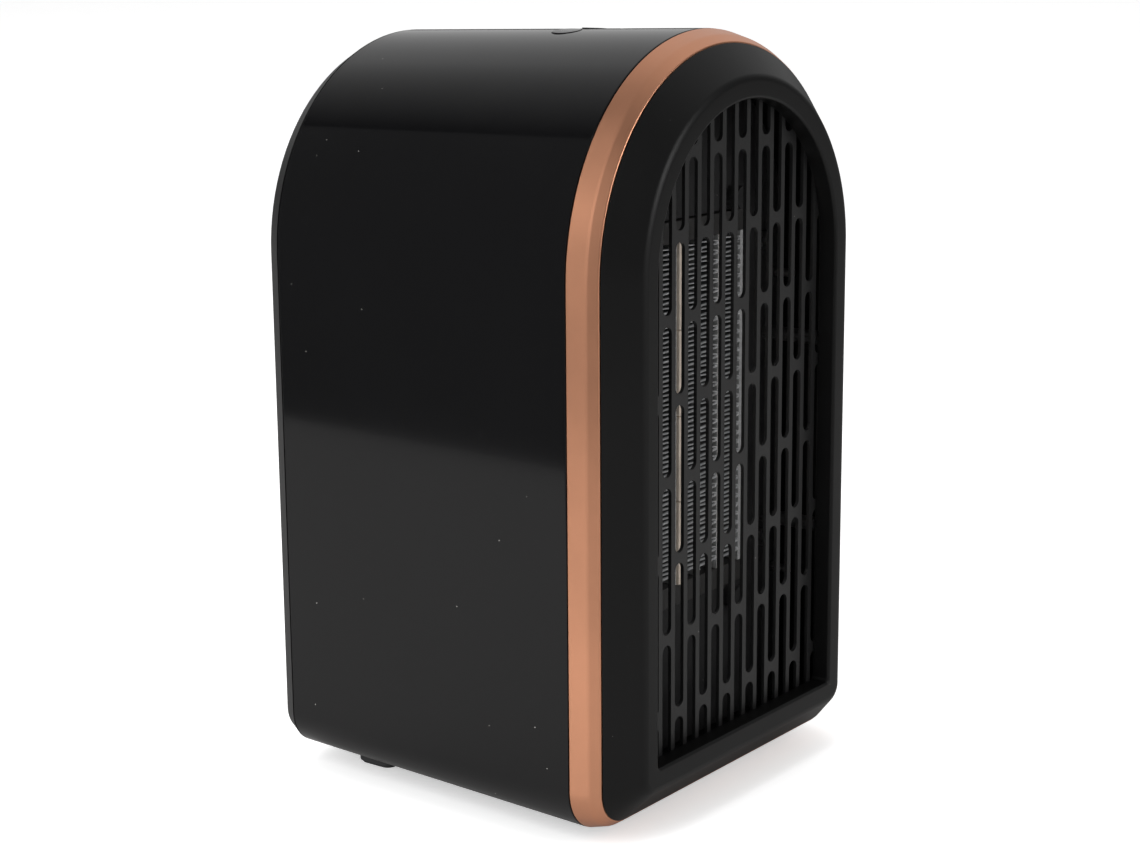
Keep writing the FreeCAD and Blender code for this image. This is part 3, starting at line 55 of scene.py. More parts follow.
SLEEVE_LOW, SLEEVE_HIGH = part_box("main_shell")
TRIM_LOW, TRIM_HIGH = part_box("trim_ring")
BEZEL_LOW, BEZEL_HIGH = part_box("front_bezel")
GRILLE_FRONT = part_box("front_grille")[0][1]
FIN_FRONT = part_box("fin_bank_middle_b")[0][1]
HALF = SLEEVE_HIGH[0]
CROWN = SLEEVE_HIGH[2]
MIDDLE = CROWN - HALF
FLOOR = TRIM_LOW[2]
Y_SEAM = SLEEVE_LOW[1]
Y_TAIL = SLEEVE_HIGH[1]
Y_LIP = BEZEL_LOW[1]
MM = 0.001


# ---------------------------------------------------------------- settings
class HeaterSizes(bpy.types.PropertyGroup):
    """Sizes that the solid model does not state by its boxes."""

    wall: FloatProperty(name="Casing wall", description="Wall of the sleeve", default=2.5 * MM,
                        unit="LENGTH")
    draft: FloatProperty(name="Draft", description="How far the sleeve draws in at its rear end",
                         default=3.0 * MM, unit="LENGTH")
    corner: FloatProperty(name="Bottom corner", description="Radius of the sleeve's bottom corners",
                          default=16.0 * MM, unit="LENGTH")
    groove: FloatProperty(name="Groove", description="Shadow line between sleeve, trim and bezel",
                          default=0.3 * MM, unit="LENGTH")
    band: FloatProperty(name="Trim band", description="Length of the trim's side band",
                        default=6.5 * MM, unit="LENGTH")
    band_lean: FloatProperty(name="Band lean", description="How far the side band leans in",
                             default=1.75 * MM, unit="LENGTH")
    face: FloatProperty(name="Trim face", description="Length of the trim's sloped face",
                        default=3.25 * MM, unit="LENGTH")
    face_lean: FloatProperty(name="Face lean", description="Inset of the trim's inner edge",
                             default=3.9 * MM, unit="LENGTH")
    bezel_corner: FloatProperty(name="Bezel corner", description="Bottom corner of the bezel",
                                default=11.5 * MM, unit="LENGTH")
    lip_outer: FloatProperty(name="Lip outer inset", description="Inset of the lip's outer edge",
                             default=14.4 * MM, unit="LENGTH")
    lip_inner: FloatProperty(name="Lip inner inset", description="Inset of the recess",
                             default=21.15 * MM, unit="LENGTH")
    edge: FloatProperty(name="Edge rounding", description="Rounding of moulded edges",
                        default=0.35 * MM, unit="LENGTH")
    fold: FloatProperty(name="Fin fold", description="Fold to fold along a fin bank",
                        default=3.16 * MM, unit="LENGTH")
    lean: FloatProperty(name="Fin lean", description="Rise of each leg of a fold",
                        default=0.42 * MM, unit="LENGTH")
    foil: FloatProperty(name="Fin foil", description="Thickness of the fin foil",
                        default=0.28 * MM, unit="LENGTH")
    arch_steps: IntProperty(name="Arch steps", description="Segments round the arch", default=128,
                            min=24, max=256)


class HeaterColours(bpy.types.PropertyGroup):
    """Colours of the finishes."""

    gloss: FloatVectorProperty(name="Sleeve", description="Polished black of the sleeve",
                               default=(0.0030, 0.0030, 0.0033), subtype="COLOR")
    satin: FloatVectorProperty(name="Bezel", description="Satin black of the bezel",
                               default=(0.0022, 0.0022, 0.0023), subtype="COLOR")
    grille: FloatVectorProperty(name="Grille", description="Satin dark grey of the grille",
                                default=(0.009, 0.009, 0.0092), subtype="COLOR")
    rose: FloatVectorProperty(name="Trim", description="Rose gold paint of the trim",
                              default=(0.86, 0.40, 0.235), subtype="COLOR")
    ceramic: FloatVectorProperty(name="Ceramic", description="Cream of the heating stones",
                                 default=(0.72, 0.62, 0.52), subtype="COLOR")


# ---------------------------------------------------------------- shader node groups
def new_group(name, inputs, outputs):
    """An empty shader group with its sockets, and its input and output nodes."""
    group = bpy.data.node_groups.new(name, "ShaderNodeTree")
    for label, default in inputs:
        socket = group.interface.new_socket(name=label, in_out="INPUT",
                                            socket_type="NodeSocketFloat")
        socket.default_value = default
    for label in outputs:
        group.interface.new_socket(name=label, in_out="OUTPUT", socket_type="NodeSocketFloat")
    return group, group.nodes.new("NodeGroupInput"), group.nodes.new("NodeGroupOutput")


def math_node(tree, operation, a, b=0.0):
    """A Math node; a and b are sockets or numbers."""
    node = tree.nodes.new("ShaderNodeMath")
    node.operation = operation
    for slot, value in zip(node.inputs, (a, b)):
        if isinstance(value, bpy.types.NodeSocket):
            tree.links.new(value, slot)
        else:
            slot.default_value = value
    return node.outputs[0]


def noise(tree, vector, scale, detail=3.0, rough=0.5):
    """A Noise texture's value; scale is a socket or a number."""
    node = tree.nodes.new("ShaderNodeTexNoise")
    tree.links.new(vector, node.inputs["Vector"])
    if isinstance(scale, bpy.types.NodeSocket):
        tree.links.new(scale, node.inputs["Scale"])
    else:
        node.inputs["Scale"].default_value = scale
    node.inputs["Detail"].default_value = detail
    node.inputs["Roughness"].default_value = rough
    return node.outputs[0]


def ramp(tree, value, low, high, to_low=0.0, to_high=1.0):
    """A clamped Map Range."""
    node = tree.nodes.new("ShaderNodeMapRange")
    tree.links.new(value, node.inputs["Value"])
    for label, number in (("From Min", low), ("From Max", high), ("To Min", to_low),
                          ("To Max", to_high)):
        node.inputs[label].default_value = number
    return node.outputs[0]


def colour_mix(tree, factor, a, b):
    """A Mix node between two colours; a and b are sockets or colours."""
    node = tree.nodes.new("ShaderNodeMix")
    node.data_type = "RGBA"
    tree.links.new(factor, node.inputs["Factor"])
    for label, value in (("A", a), ("B", b)):
        if isinstance(value, bpy.types.NodeSocket):
            tree.links.new(value, node.inputs[label])
        else:
            node.inputs[label].default_value = value
    return node.outputs["Result"]


def grain_group():
    """Fine moulded or blasted grain: a height, and a slow drift of tone over the surface."""
    group, source, sink = new_group("moulded_grain", (("Scale", 2500.0), ("Drift Scale", 14.0)),
                                    ("Height", "Drift"))
    place = group.nodes.new("ShaderNodeTexCoord").outputs["Object"]
    fine = noise(group, place, source.outputs["Scale"], 2.0, 0.6)
    slow = noise(group, place, source.outputs["Drift Scale"], 4.0, 0.55)
    group.links.new(fine, sink.inputs["Height"])
    group.links.new(ramp(group, slow, 0.3, 0.7), sink.inputs["Drift"])
    return group


def dust_group():
    """Sparse specks and a thin film that gathers on faces that look up."""
    group, source, sink = new_group("settled_dust", (("Speck Scale", 170.0), ("Speck Size", 0.035)),
                                    ("Specks", "Film"))
    coordinates = group.nodes.new("ShaderNodeTexCoord")
    place = coordinates.outputs["Object"]
    cells = group.nodes.new("ShaderNodeTexVoronoi")
    group.links.new(place, cells.inputs["Vector"])
    group.links.new(source.outputs["Speck Scale"], cells.inputs["Scale"])
    inside = math_node(group, "LESS_THAN", cells.outputs["Distance"], source.outputs["Speck Size"])
    some = ramp(group, noise(group, place, 60.0, 1.0), 0.56, 0.6)
    group.links.new(math_node(group, "MULTIPLY", inside, some), sink.inputs["Specks"])
    split = group.nodes.new("ShaderNodeSeparateXYZ")
    group.links.new(coordinates.outputs["Normal"], split.inputs[0])
    up = ramp(group, split.outputs["Z"], 0.2, 1.0)
    cloud = ramp(group, noise(group, place, 35.0, 6.0, 0.7), 0.35, 0.75)
    group.links.new(math_node(group, "MULTIPLY", up, cloud), sink.inputs["Film"])
    return group


def brushed_group():
    """Fine parallel drawing lines along one axis, for sheet, foil and turned metal."""
    group, source, sink = new_group("drawn_lines", (("Across", 3000.0), ("Along", 60.0)),
                                    ("Height", "Tone"))
    place = group.nodes.new("ShaderNodeTexCoord").outputs["Object"]
    split = group.nodes.new("ShaderNodeSeparateXYZ")
    group.links.new(place, split.inputs[0])
    join = group.nodes.new("ShaderNodeCombineXYZ")
    for axis, label in (("X", "Across"), ("Y", "Along"), ("Z", "Across")):
        group.links.new(math_node(group, "MULTIPLY", split.outputs[axis], source.outputs[label]),
                        join.inputs[axis])
    lines = noise(group, join.outputs[0], 1.0, 2.0, 0.6)
    group.links.new(lines, sink.inputs["Height"])
    group.links.new(ramp(group, lines, 0.3, 0.7), sink.inputs["Tone"])
    return group


GROUPS = {}


def group_node(material, name, **values):
    """A node of a shared group, placed in a material with its own values."""
    if name not in GROUPS:
        makers = {"moulded_grain": grain_group, "settled_dust": dust_group,
                  "drawn_lines": brushed_group}
        GROUPS[name] = makers[name]()
    node = material.node_tree.nodes.new("ShaderNodeGroup")
    node.node_tree = GROUPS[name]
    for label, value in values.items():
        node.inputs[label.replace("_", " ")].default_value = value
    return node


# ---------------------------------------------------------------- finishes
GRAIN_HEIGHT = 0.0004
DUST_COLOUR = (0.33, 0.32, 0.30, 1)
DUST_MOST = 0.85
DUST_ROUGHNESS = 0.5
SPECK_GAIN = 4
# Painted shade inside the fin banks: the foil fades to this dark colour between these depths behind
# its front edge.
DEEP_SHADE_COLOUR = (0.045, 0.045, 0.046, 1)
DEEP_SHADE_START = 0.3 * MM
DEEP_SHADE_END = 1.6 * MM


def finish(name, colour, rough, spread=0.06, metallic=0.0, grain=2500.0, depth=0.02, drift=14.0,
           shade=0.12, dust=0.0, film=0.02, lines=False, coat=0.0, coat_rough=0.05, specular=0.5):
    """One surface finish: base colour with a slow drift, uneven roughness, grain and dust."""
    material = bpy.data.materials.new(name)
    material.use_nodes = True
    tree = material.node_tree
    shader = tree.nodes["Principled BSDF"]
    shader.inputs["Metallic"].default_value = metallic
    shader.inputs["Coat Weight"].default_value = coat
    shader.inputs["Coat Roughness"].default_value = coat_rough
    shader.inputs["Specular IOR Level"].default_value = specular

    if lines:
        grain_node = group_node(material, "drawn_lines", Across=grain)
        tone, height = grain_node.outputs["Tone"], grain_node.outputs["Height"]
    else:
        grain_node = group_node(material, "moulded_grain", Scale=grain, Drift_Scale=drift)
        tone, height = grain_node.outputs["Drift"], grain_node.outputs["Height"]
    base = colour_mix(tree, tone, (*[c * (1 - shade) for c in colour], 1),
                      (*[min(1, c * (1 + shade)) for c in colour], 1))
    roughness = ramp(tree, tone, 0.0, 1.0, rough - spread / 2, rough + spread / 2)
    if dust:
        settled = group_node(material, "settled_dust")
        specks = math_node(tree, "MULTIPLY", settled.outputs["Specks"], min(1.0, dust * SPECK_GAIN))
        haze = math_node(tree, "MULTIPLY", settled.outputs["Film"], film)
        amount = math_node(tree, "ADD", specks, haze)
        base = colour_mix(tree, math_node(tree, "MINIMUM", amount, DUST_MOST), base, DUST_COLOUR)
        roughness = math_node(tree, "ADD", roughness,
                              math_node(tree, "MULTIPLY", amount, DUST_ROUGHNESS))
    tree.links.new(base, shader.inputs["Base Color"])
    tree.links.new(roughness, shader.inputs["Roughness"])
    if depth:
        bump = tree.nodes.new("ShaderNodeBump")
        bump.inputs["Strength"].default_value = depth
        bump.inputs["Distance"].default_value = GRAIN_HEIGHT
        tree.links.new(height, bump.inputs["Height"])
        tree.links.new(bump.outputs["Normal"], shader.inputs["Normal"])
    return material


def paint_deep_shade(material):
    """Paints shade on a foil's surface, darker the further it lies behind its front edge."""
    tree = material.node_tree
    split = tree.nodes.new("ShaderNodeSeparateXYZ")
    tree.links.new(tree.nodes.new("ShaderNodeTexCoord").outputs["Object"], split.inputs[0])
    depth = ramp(tree, split.outputs["Y"], FIN_FRONT + DEEP_SHADE_START, FIN_FRONT + DEEP_SHADE_END)
    colour = tree.nodes["Principled BSDF"].inputs["Base Color"]
    tree.links.new(colour_mix(tree, depth, colour.links[0].from_socket, DEEP_SHADE_COLOUR), colour)
    return material


FINISHES = {
    "gloss": lambda c: finish("polished_black", c.gloss, 0.085, 0.03, grain=420, depth=0.004,
            drift=9, dust=0.35, film=0.004, specular=0.4, coat=0.1, coat_rough=0.03),
    "satin": lambda c: finish("satin_black", c.satin, 0.4, 0.07, grain=3200, depth=0.05,
            dust=0.14, film=0.004, specular=0.3),
    "grille": lambda c: finish("satin_grille", c.grille, 0.42, 0.08, grain=3200, depth=0.06,
            dust=0.16, film=0.01, specular=0.5),
    "rose": lambda c: finish("rose_gold", c.rose, 0.35, 0.05, 0.98, grain=5200, depth=0.05,
            drift=30, shade=0.05, coat=0.25, coat_rough=0.4),
    "back": lambda c: finish("satin_back", (0.012, 0.012, 0.0125), 0.45, 0.1, grain=2600,
            depth=0.08, dust=0.16),
    "rubber": lambda c: finish("foot_rubber", (0.03, 0.03, 0.031), 0.72, 0.12, grain=1800,
            depth=0.15, dust=0.2),
    "frame": lambda c: finish("heat_plastic", (0.018, 0.018, 0.0185), 0.55, 0.1, grain=2200,
            depth=0.1, dust=0.2),
    "cap": lambda c: finish("cap_plastic", (0.035, 0.034, 0.033), 0.5, 0.1, grain=2200, depth=0.1,
            dust=0.2),
    "duct": lambda c: finish("duct_sheet", (0.16, 0.16, 0.165), 0.4, 0.12, 0.8, grain=1500,
            depth=0.05, lines=True, dust=0.1),
    # Fin foil with painted shade deeper in the bank.
    "fin": lambda c: paint_deep_shade(finish("fin_foil", (0.62, 0.63, 0.64), 0.45, 0.16, 0.5,
            grain=2600, depth=0.08, lines=True, shade=0.2)),
    "rail": lambda c: finish("rail_aluminium", (0.6, 0.6, 0.6), 0.5, 0.12, 0.5, grain=1800,
            depth=0.06, lines=True),
    "ceramic": lambda c: finish("heater_ceramic", c.ceramic, 0.7, 0.1, grain=900, depth=0.25,
            drift=120, shade=0.12),
    "steel": lambda c: finish("zinc_steel", (0.5, 0.5, 0.5), 0.32, 0.12, 1.0, grain=1500,
            depth=0.05, lines=True),
    "brass": lambda c: finish("bush_bronze", (0.55, 0.36, 0.16), 0.35, 0.12, 1.0, grain=1500,
            depth=0.05, lines=True),
    "iron": lambda c: finish("dark_iron", (0.07, 0.068, 0.066), 0.6, 0.12, 0.6, grain=1200,
            depth=0.12),
    "board": lambda c: finish("board_mask", (0.02, 0.09, 0.035), 0.3, 0.1, grain=900, depth=0.05,
            coat=0.3),
    "fan": lambda c: finish("fan_plastic", (0.03, 0.03, 0.032), 0.45, 0.1, grain=2000, depth=0.08,
            dust=0.3),
    "blue": lambda c: finish("relay_case", (0.02, 0.06, 0.22), 0.35, 0.08, grain=1500,
            depth=0.05),
    "amber": lambda c: finish("capacitor_case", (0.55, 0.38, 0.05), 0.35, 0.08, grain=1500,
            depth=0.05),
    "nylon": lambda c: finish("natural_nylon", (0.6, 0.57, 0.48), 0.5, 0.08, grain=1500,
            depth=0.05),
    "lens": lambda c: finish("lens_acrylic", (0.42, 0.42, 0.42), 0.12, 0.04, grain=900,
            depth=0.01, coat=0.5),
    "mark": lambda c: finish("mark_print", (0.23, 0.23, 0.235), 0.5, 0.06, grain=2600,
            depth=0.04),
}
MADE = {}


def coat_of(name):
    """The named finish, made the first time it is asked for."""
    if name not in MADE:
        MADE[name] = FINISHES[name](bpy.context.scene.heater_colours)
    return MADE[name]


def paint(node, name):
    """Gives a CAD node a finish without touching its mesh."""
    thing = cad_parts[node]
    thing.data.materials.clear()
    thing.data.materials.append(coat_of(name))


# ---------------------------------------------------------------- mesh helpers
SOFT_ANGLE = 35
CORNER_STEPS = 14
MERGE_REACH = 1e-6
FLAT_ANGLE = 0.4


def mesh_from(name, bm):
    """A mesh that takes over a bmesh."""
    mesh = bpy.data.meshes.new(name)
    bm.to_mesh(mesh)
    bm.free()
    return mesh


def add_object(name, data):
    """A new object in the scene."""
    thing = bpy.data.objects.new(name, data)
    bpy.context.scene.collection.objects.link(thing)
    return thing


def centre_of(node):
    """X and Y of the middle of a CAD node's box."""
    low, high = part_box(node)
    return (low[0] + high[0]) / 2, (low[1] + high[1]) / 2


def last_vert(made):
    """The vertex at the end of a spin that began with one vertex."""
    return [v for v in made["geom_last"] if isinstance(v, bmesh.types.BMVert)][0]


def to_piece(name, bm, finish_name, body, *nodes, smooth=True, angle=None):
    """Turns a bmesh into a riding piece that stands for the named CAD nodes."""
    for face in bm.faces:
        face.smooth = smooth
    mesh = mesh_from(name, bm)
    piece = add_object(name, mesh)
    mesh.materials.append(coat_of(finish_name))
    if angle is not None:
        mesh.set_sharp_from_angle(angle=math.radians(angle))
    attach(piece, body)
    if nodes:
        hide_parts(*nodes)
    return piece


def arch_outline(y, inset, corner):
    """Points of the sleeve's outline at y, drawn in by inset, with round bottom corners."""
    steps = bpy.context.scene.heater_sizes.arch_steps
    half = HALF - inset
    floor = FLOOR + inset
    bm = bmesh.new()
    right = bm.verts.new((half, y, MIDDLE))
    arch = bmesh.ops.spin(bm, geom=[right], cent=(0, y, MIDDLE), axis=(0, -1, 0), angle=math.pi,
                          steps=steps)
    left = last_vert(arch)
    low_left = bm.verts.new((-half, y, floor))
    low_right = bm.verts.new((half, y, floor))
    for a, b in ((left, low_left), (low_left, low_right), (low_right, right)):
        bm.edges.new((a, b))
    bmesh.ops.bevel(bm, geom=[low_left, low_right], offset=corner, segments=CORNER_STEPS,
                    profile=0.5, affect="VERTICES", material=-1)
    bm.verts.ensure_lookup_table()
    here = min(bm.verts, key=lambda v: (v.co - Vector((half, y, MIDDLE))).length)
    step = max(here.link_edges, key=lambda e: e.other_vert(here).co.z)
    points = []
    for _ in range(len(bm.verts)):
        points.append(here.co.copy())
        here = step.other_vert(here)
        step = [e for e in here.link_edges if e is not step][0]
    bm.free()
    return points


def sweep(sections):
    """A closed skin through arch outlines, each (y, inset, corner), and each outline's edges."""
    bm = bmesh.new()
    outlines = [arch_outline(*section) for section in sections]
    ring = [bm.verts.new(point) for point in outlines[0]]
    for a, b in zip(ring, ring[1:] + ring[:1]):
        bm.edges.new((a, b))
    rings = [ring]
    for outline in outlines[1:] + outlines[:1]:
        ring = rings[-1]
        members = set(ring)
        edges = [e for v in ring for e in v.link_edges if e.other_vert(v) in members]
        made = bmesh.ops.extrude_edge_only(bm, edges=list(dict.fromkeys(edges)))
        fresh = {v for v in made["geom"] if isinstance(v, bmesh.types.BMVert)}
        grown = [[e.other_vert(v) for e in v.link_edges if e.other_vert(v) in fresh][0]
                 for v in ring]
        for vert, point in zip(grown, outline):
            vert.co = point
        rings.append(grown)
    bmesh.ops.weld_verts(bm, targetmap=dict(zip(rings.pop(), rings[0])))
    loops = []
    for ring in rings:
        members = set(ring)
        loops.append([e for e in bm.edges if e.verts[0] in members and e.verts[1] in members])
    return bm, loops


def round_loops(bm, loops, chosen):
    """Rounds the crease along some outlines; chosen maps an outline's place to its radius."""
    for radius in sorted(set(chosen.values())):
        edges = [e for i in chosen if chosen[i] == radius for e in loops[i] if e.is_valid]
        bmesh.ops.bevel(bm, geom=edges, offset=radius, offset_type="OFFSET", segments=4,
                        profile=0.5, affect="EDGES", material=-1, loop_slide=True,
                        clamp_overlap=True)
    bmesh.ops.recalc_face_normals(bm, faces=bm.faces)


def merged_copy(node):
    """A CAD node's mesh as a bmesh with shared corners and flat faces joined."""
    bm = bmesh.new()
    bm.from_mesh(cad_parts[node].data)
    bmesh.ops.remove_doubles(bm, verts=bm.verts, dist=MERGE_REACH)
    bmesh.ops.dissolve_limit(bm, angle_limit=math.radians(FLAT_ANGLE), verts=bm.verts,
                             edges=bm.edges)
    bmesh.ops.recalc_face_normals(bm, faces=bm.faces)
    return bm


def softened(name, node, finish_name, body, width, segments=2):
    """A piece that follows a CAD node with its edges rounded."""
    piece = to_piece(name, merged_copy(node), finish_name, body, node, angle=SOFT_ANGLE)
    bevel = piece.modifiers.new("edges", "BEVEL")
    bevel.width = width
    bevel.segments = segments
    bevel.limit_method = "ANGLE"
    bevel.angle_limit = math.radians(SOFT_ANGLE)
    even_shading(piece)
    return piece


def even_shading(piece):
    """Lets large flat faces keep their own shading direction."""
    weighted = piece.modifiers.new("shading", "WEIGHTED_NORMAL")
    weighted.keep_sharp = True
    weighted.weight = 100


def add_rod(bm, centre, radius, length, steps):
    """Adds a capped upright cylinder, centred on centre, to a bmesh."""
    bmesh.ops.create_cone(bm, cap_ends=True, segments=steps, radius1=radius, radius2=radius,
                          depth=length, matrix=Matrix.Translation(centre))


def applied_cut(piece, cutter_bm):
    """Takes the cutter's solids from a piece and applies the result to its mesh."""
    cutter = add_object("cutter", mesh_from("cutter", cutter_bm))
    modifier = piece.modifiers.new("cut", "BOOLEAN")
    modifier.operation = "DIFFERENCE"
    modifier.solver = "EXACT"
    modifier.object = cutter
    graph = bpy.context.evaluated_depsgraph_get()
    result = bpy.data.meshes.new_from_object(piece.evaluated_get(graph))
    piece.modifiers.clear()
    old = piece.data
    piece.data = result
    result.name = piece.name
    bpy.data.meshes.remove(old)
    bpy.data.objects.remove(cutter)


# ---------------------------------------------------------------- the casing
BUTTON_HOLE = 5.0 * MM
BUTTON_MARGIN = 8 * MM
LENS_GAP = 0.1 * MM
LENS_MARGIN = 4 * MM
CUTTER_DROP = 4 * MM
CUTTER_LENGTH = 16 * MM
CUTTER_STEPS = 64
TRIM_RETURN = 1.6 * MM
TRIM_SPIGOT_PLAY = 0.4 * MM
TRIM_ROUNDS = {0: 0.4 * MM, 1: 0.75 * MM, 2: 0.35 * MM}
BEZEL_SPIGOT_INSET = 1.9 * MM
BEZEL_SKIN = 2.0 * MM
LIP_DEPTH = 2.2 * MM
LIP_CORNER = 5.0 * MM
LIP_BACK_CORNER = 3.8 * MM
RECESS_CORNER = 1.5 * MM
RECESS_BACK_CORNER = 3.5 * MM
BEZEL_ROUNDS = {0: 0.3 * MM, 1: 1.5 * MM, 2: 1.1 * MM, 3: 0.2 * MM}


class HEATER_OT_sleeve(bpy.types.Operator):
    """Build the polished sleeve with its button and lamp holes"""

    bl_idname = "heater.sleeve"
    bl_label = "Sleeve"

    def execute(self, context):
        s = context.scene.heater_sizes
        rate = s.draft / (Y_TAIL - Y_SEAM)
        button_y, lens_y = centre_of("power_button")[1], centre_of("indicator_lens")[1]
        outer = [(y, rate * (y - Y_SEAM)) for y in (
            Y_SEAM, lens_y - LENS_MARGIN, lens_y + LENS_MARGIN, button_y - BUTTON_MARGIN,
            button_y + BUTTON_MARGIN, Y_TAIL)]
        sections = [(y, inset, s.corner - inset) for y, inset in outer]
        sections += [(Y_TAIL, s.draft + s.wall, s.corner - s.draft - s.wall),
                     (Y_SEAM, s.wall, s.corner - s.wall)]
        bm, loops = sweep(sections)
        round_loops(bm, loops, {0: s.edge, 5: s.edge, 6: s.edge / 2, 7: s.edge / 2})
        sleeve = to_piece("sleeve", bm, "gloss", "housing", "main_shell", angle=40)
        lens_low, lens_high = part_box("indicator_lens")
        lens_hole = (lens_high[0] - lens_low[0]) / 2 + LENS_GAP
        cutter = bmesh.new()
        for node, radius in (("power_button", BUTTON_HOLE), ("mode_button", BUTTON_HOLE),
                             ("indicator_lens", lens_hole)):
            add_rod(cutter, (*centre_of(node), CROWN - CUTTER_DROP), radius, CUTTER_LENGTH,
                    CUTTER_STEPS)
        applied_cut(sleeve, cutter)
        even_shading(sleeve)
        return {"FINISHED"}


class HEATER_OT_trim(bpy.types.Operator):
    """Build the rose gold ring: a leaning band, a soft ridge and a sloped face"""

    bl_idname = "heater.trim"
    bl_label = "Trim ring"

    def execute(self, context):
        s = context.scene.heater_sizes
        ridge = Y_SEAM - s.band
        front = ridge - s.face
        inner = s.face_lean + TRIM_RETURN
        back = TRIM_HIGH[1]
        seam = Y_SEAM - s.groove
        spigot = s.wall + TRIM_SPIGOT_PLAY
        bm, loops = sweep([
            (seam, 0, s.corner),
            (ridge, s.band_lean, s.corner - s.band_lean),
            (front, s.face_lean, s.corner - s.face_lean),
            (front, inner, s.corner - inner),
            (back, inner, s.corner - inner),
            (back, spigot, s.corner - spigot),
            (seam, spigot, s.corner - spigot),
        ])
        round_loops(bm, loops, TRIM_ROUNDS)
        even_shading(to_piece("trim_band", bm, "rose", "housing", "trim_ring", angle=50))
        return {"FINISHED"}


class HEATER_OT_bezel(bpy.types.Operator):
    """Build the satin bezel: slope, rounded lip and recess wall"""

    bl_idname = "heater.bezel"
    bl_label = "Bezel"

    def execute(self, context):
        s = context.scene.heater_sizes
        foot_y = Y_SEAM - s.band - s.face - s.groove
        foot_inset = s.face_lean + s.groove
        spigot = s.face_lean + BEZEL_SPIGOT_INSET
        bore = spigot + BEZEL_SKIN
        back = s.lip_inner - BEZEL_SKIN
        lip_back = Y_LIP + LIP_DEPTH
        end = BEZEL_HIGH[1]
        bm, loops = sweep([
            (foot_y, foot_inset, s.bezel_corner),
            (Y_LIP, s.lip_outer, LIP_CORNER),
            (Y_LIP, s.lip_inner, RECESS_CORNER),
            (GRILLE_FRONT, s.lip_inner, RECESS_CORNER),
            (GRILLE_FRONT, back, RECESS_BACK_CORNER),
            (lip_back, back, RECESS_BACK_CORNER),
            (lip_back, s.lip_outer + LIP_DEPTH, LIP_BACK_CORNER),
            (foot_y, bore, s.corner - bore),
            (end, bore, s.corner - bore),
            (end, spigot, s.corner - spigot),
            (foot_y, spigot, s.corner - spigot),
        ])
        round_loops(bm, loops, BEZEL_ROUNDS)
        even_shading(to_piece("bezel_frame", bm, "satin", "housing", "front_bezel", angle=50))
        return {"FINISHED"}


class HEATER_OT_grille(bpy.types.Operator):
    """Build the slotted grille with softened slot edges"""

    bl_idname = "heater.grille"
    bl_label = "Grille"

    def execute(self, context):
        softened("grille_plate", "front_grille", "grille", "housing", 0.28 * MM, 3)
        return {"FINISHED"}


# ---------------------------------------------------------------- the heating element
BEND_STEPS = 8
FOLD_MERGE = 0.00002


def fin_strip(name, node):
    """A bank of folded foil: legs that lean and loops that lie against the plates."""
    s = bpy.context.scene.heater_sizes
    low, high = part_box(node)
    bend = (s.fold - 2 * s.lean) / 4
    near, far = low[0] + bend + s.foil / 2, high[0] - bend - s.foil / 2
    y = low[1]
    bm = bmesh.new()
    tip = bm.verts.new((near, y, low[2] + bend))
    for x, sense, run in ((near, 1, far - near), (far, -1, near - far)):
        loop = bmesh.ops.spin(bm, geom=[tip], cent=(x, y, tip.co.z + bend), axis=(0, sense, 0),
                              angle=math.radians(180), steps=BEND_STEPS)
        tip = bmesh.ops.extrude_vert_indiv(bm, verts=[last_vert(loop)])["verts"][0]
        tip.co += Vector((run, 0, s.lean))
    made = bmesh.ops.extrude_edge_only(bm, edges=bm.edges[:])
    sheet = [v for v in made["geom"] if isinstance(v, bmesh.types.BMVert)]
    bmesh.ops.translate(bm, vec=(0, high[1] - low[1], 0), verts=sheet)
    piece = to_piece(name, bm, "fin", "housing", node)
    folds = piece.modifiers.new("folds", "ARRAY")
    folds.count = int((high[2] - low[2]) / s.fold)
    folds.use_relative_offset = False
    folds.use_constant_offset = True
    folds.constant_offset_displace = (0, 0, s.fold)
    folds.use_merge_vertices = True
    folds.merge_threshold = FOLD_MERGE
    foil = piece.modifiers.new("foil", "SOLIDIFY")
    foil.thickness = s.foil
    foil.offset = 0
    return piece


class HEATER_OT_element(bpy.types.Operator):
    """Build the fins, ceramic stones, electrodes, plates and caps of the heating element"""

    bl_idname = "heater.element"
    bl_label = "Heating element"

    def execute(self, context):
        for node in sorted(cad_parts):
            if node.startswith("fin_bank"):
                fin_strip(node.replace("fin_bank", "fins"), node)
            elif node.startswith("ceramic_bar"):
                softened(node.replace("ceramic_bar", "stones"), node, "ceramic", "housing",
                         0.22 * MM)
            elif node.startswith(("electrodes", "divider", "side_rail")):
                softened(f"{node}_metal", node, "rail", "housing", 0.08 * MM, 1)
            elif node.startswith("element_cap"):
                softened(f"{node}_moulding", node, "cap", "housing", 0.5 * MM)
        return {"FINISHED"}


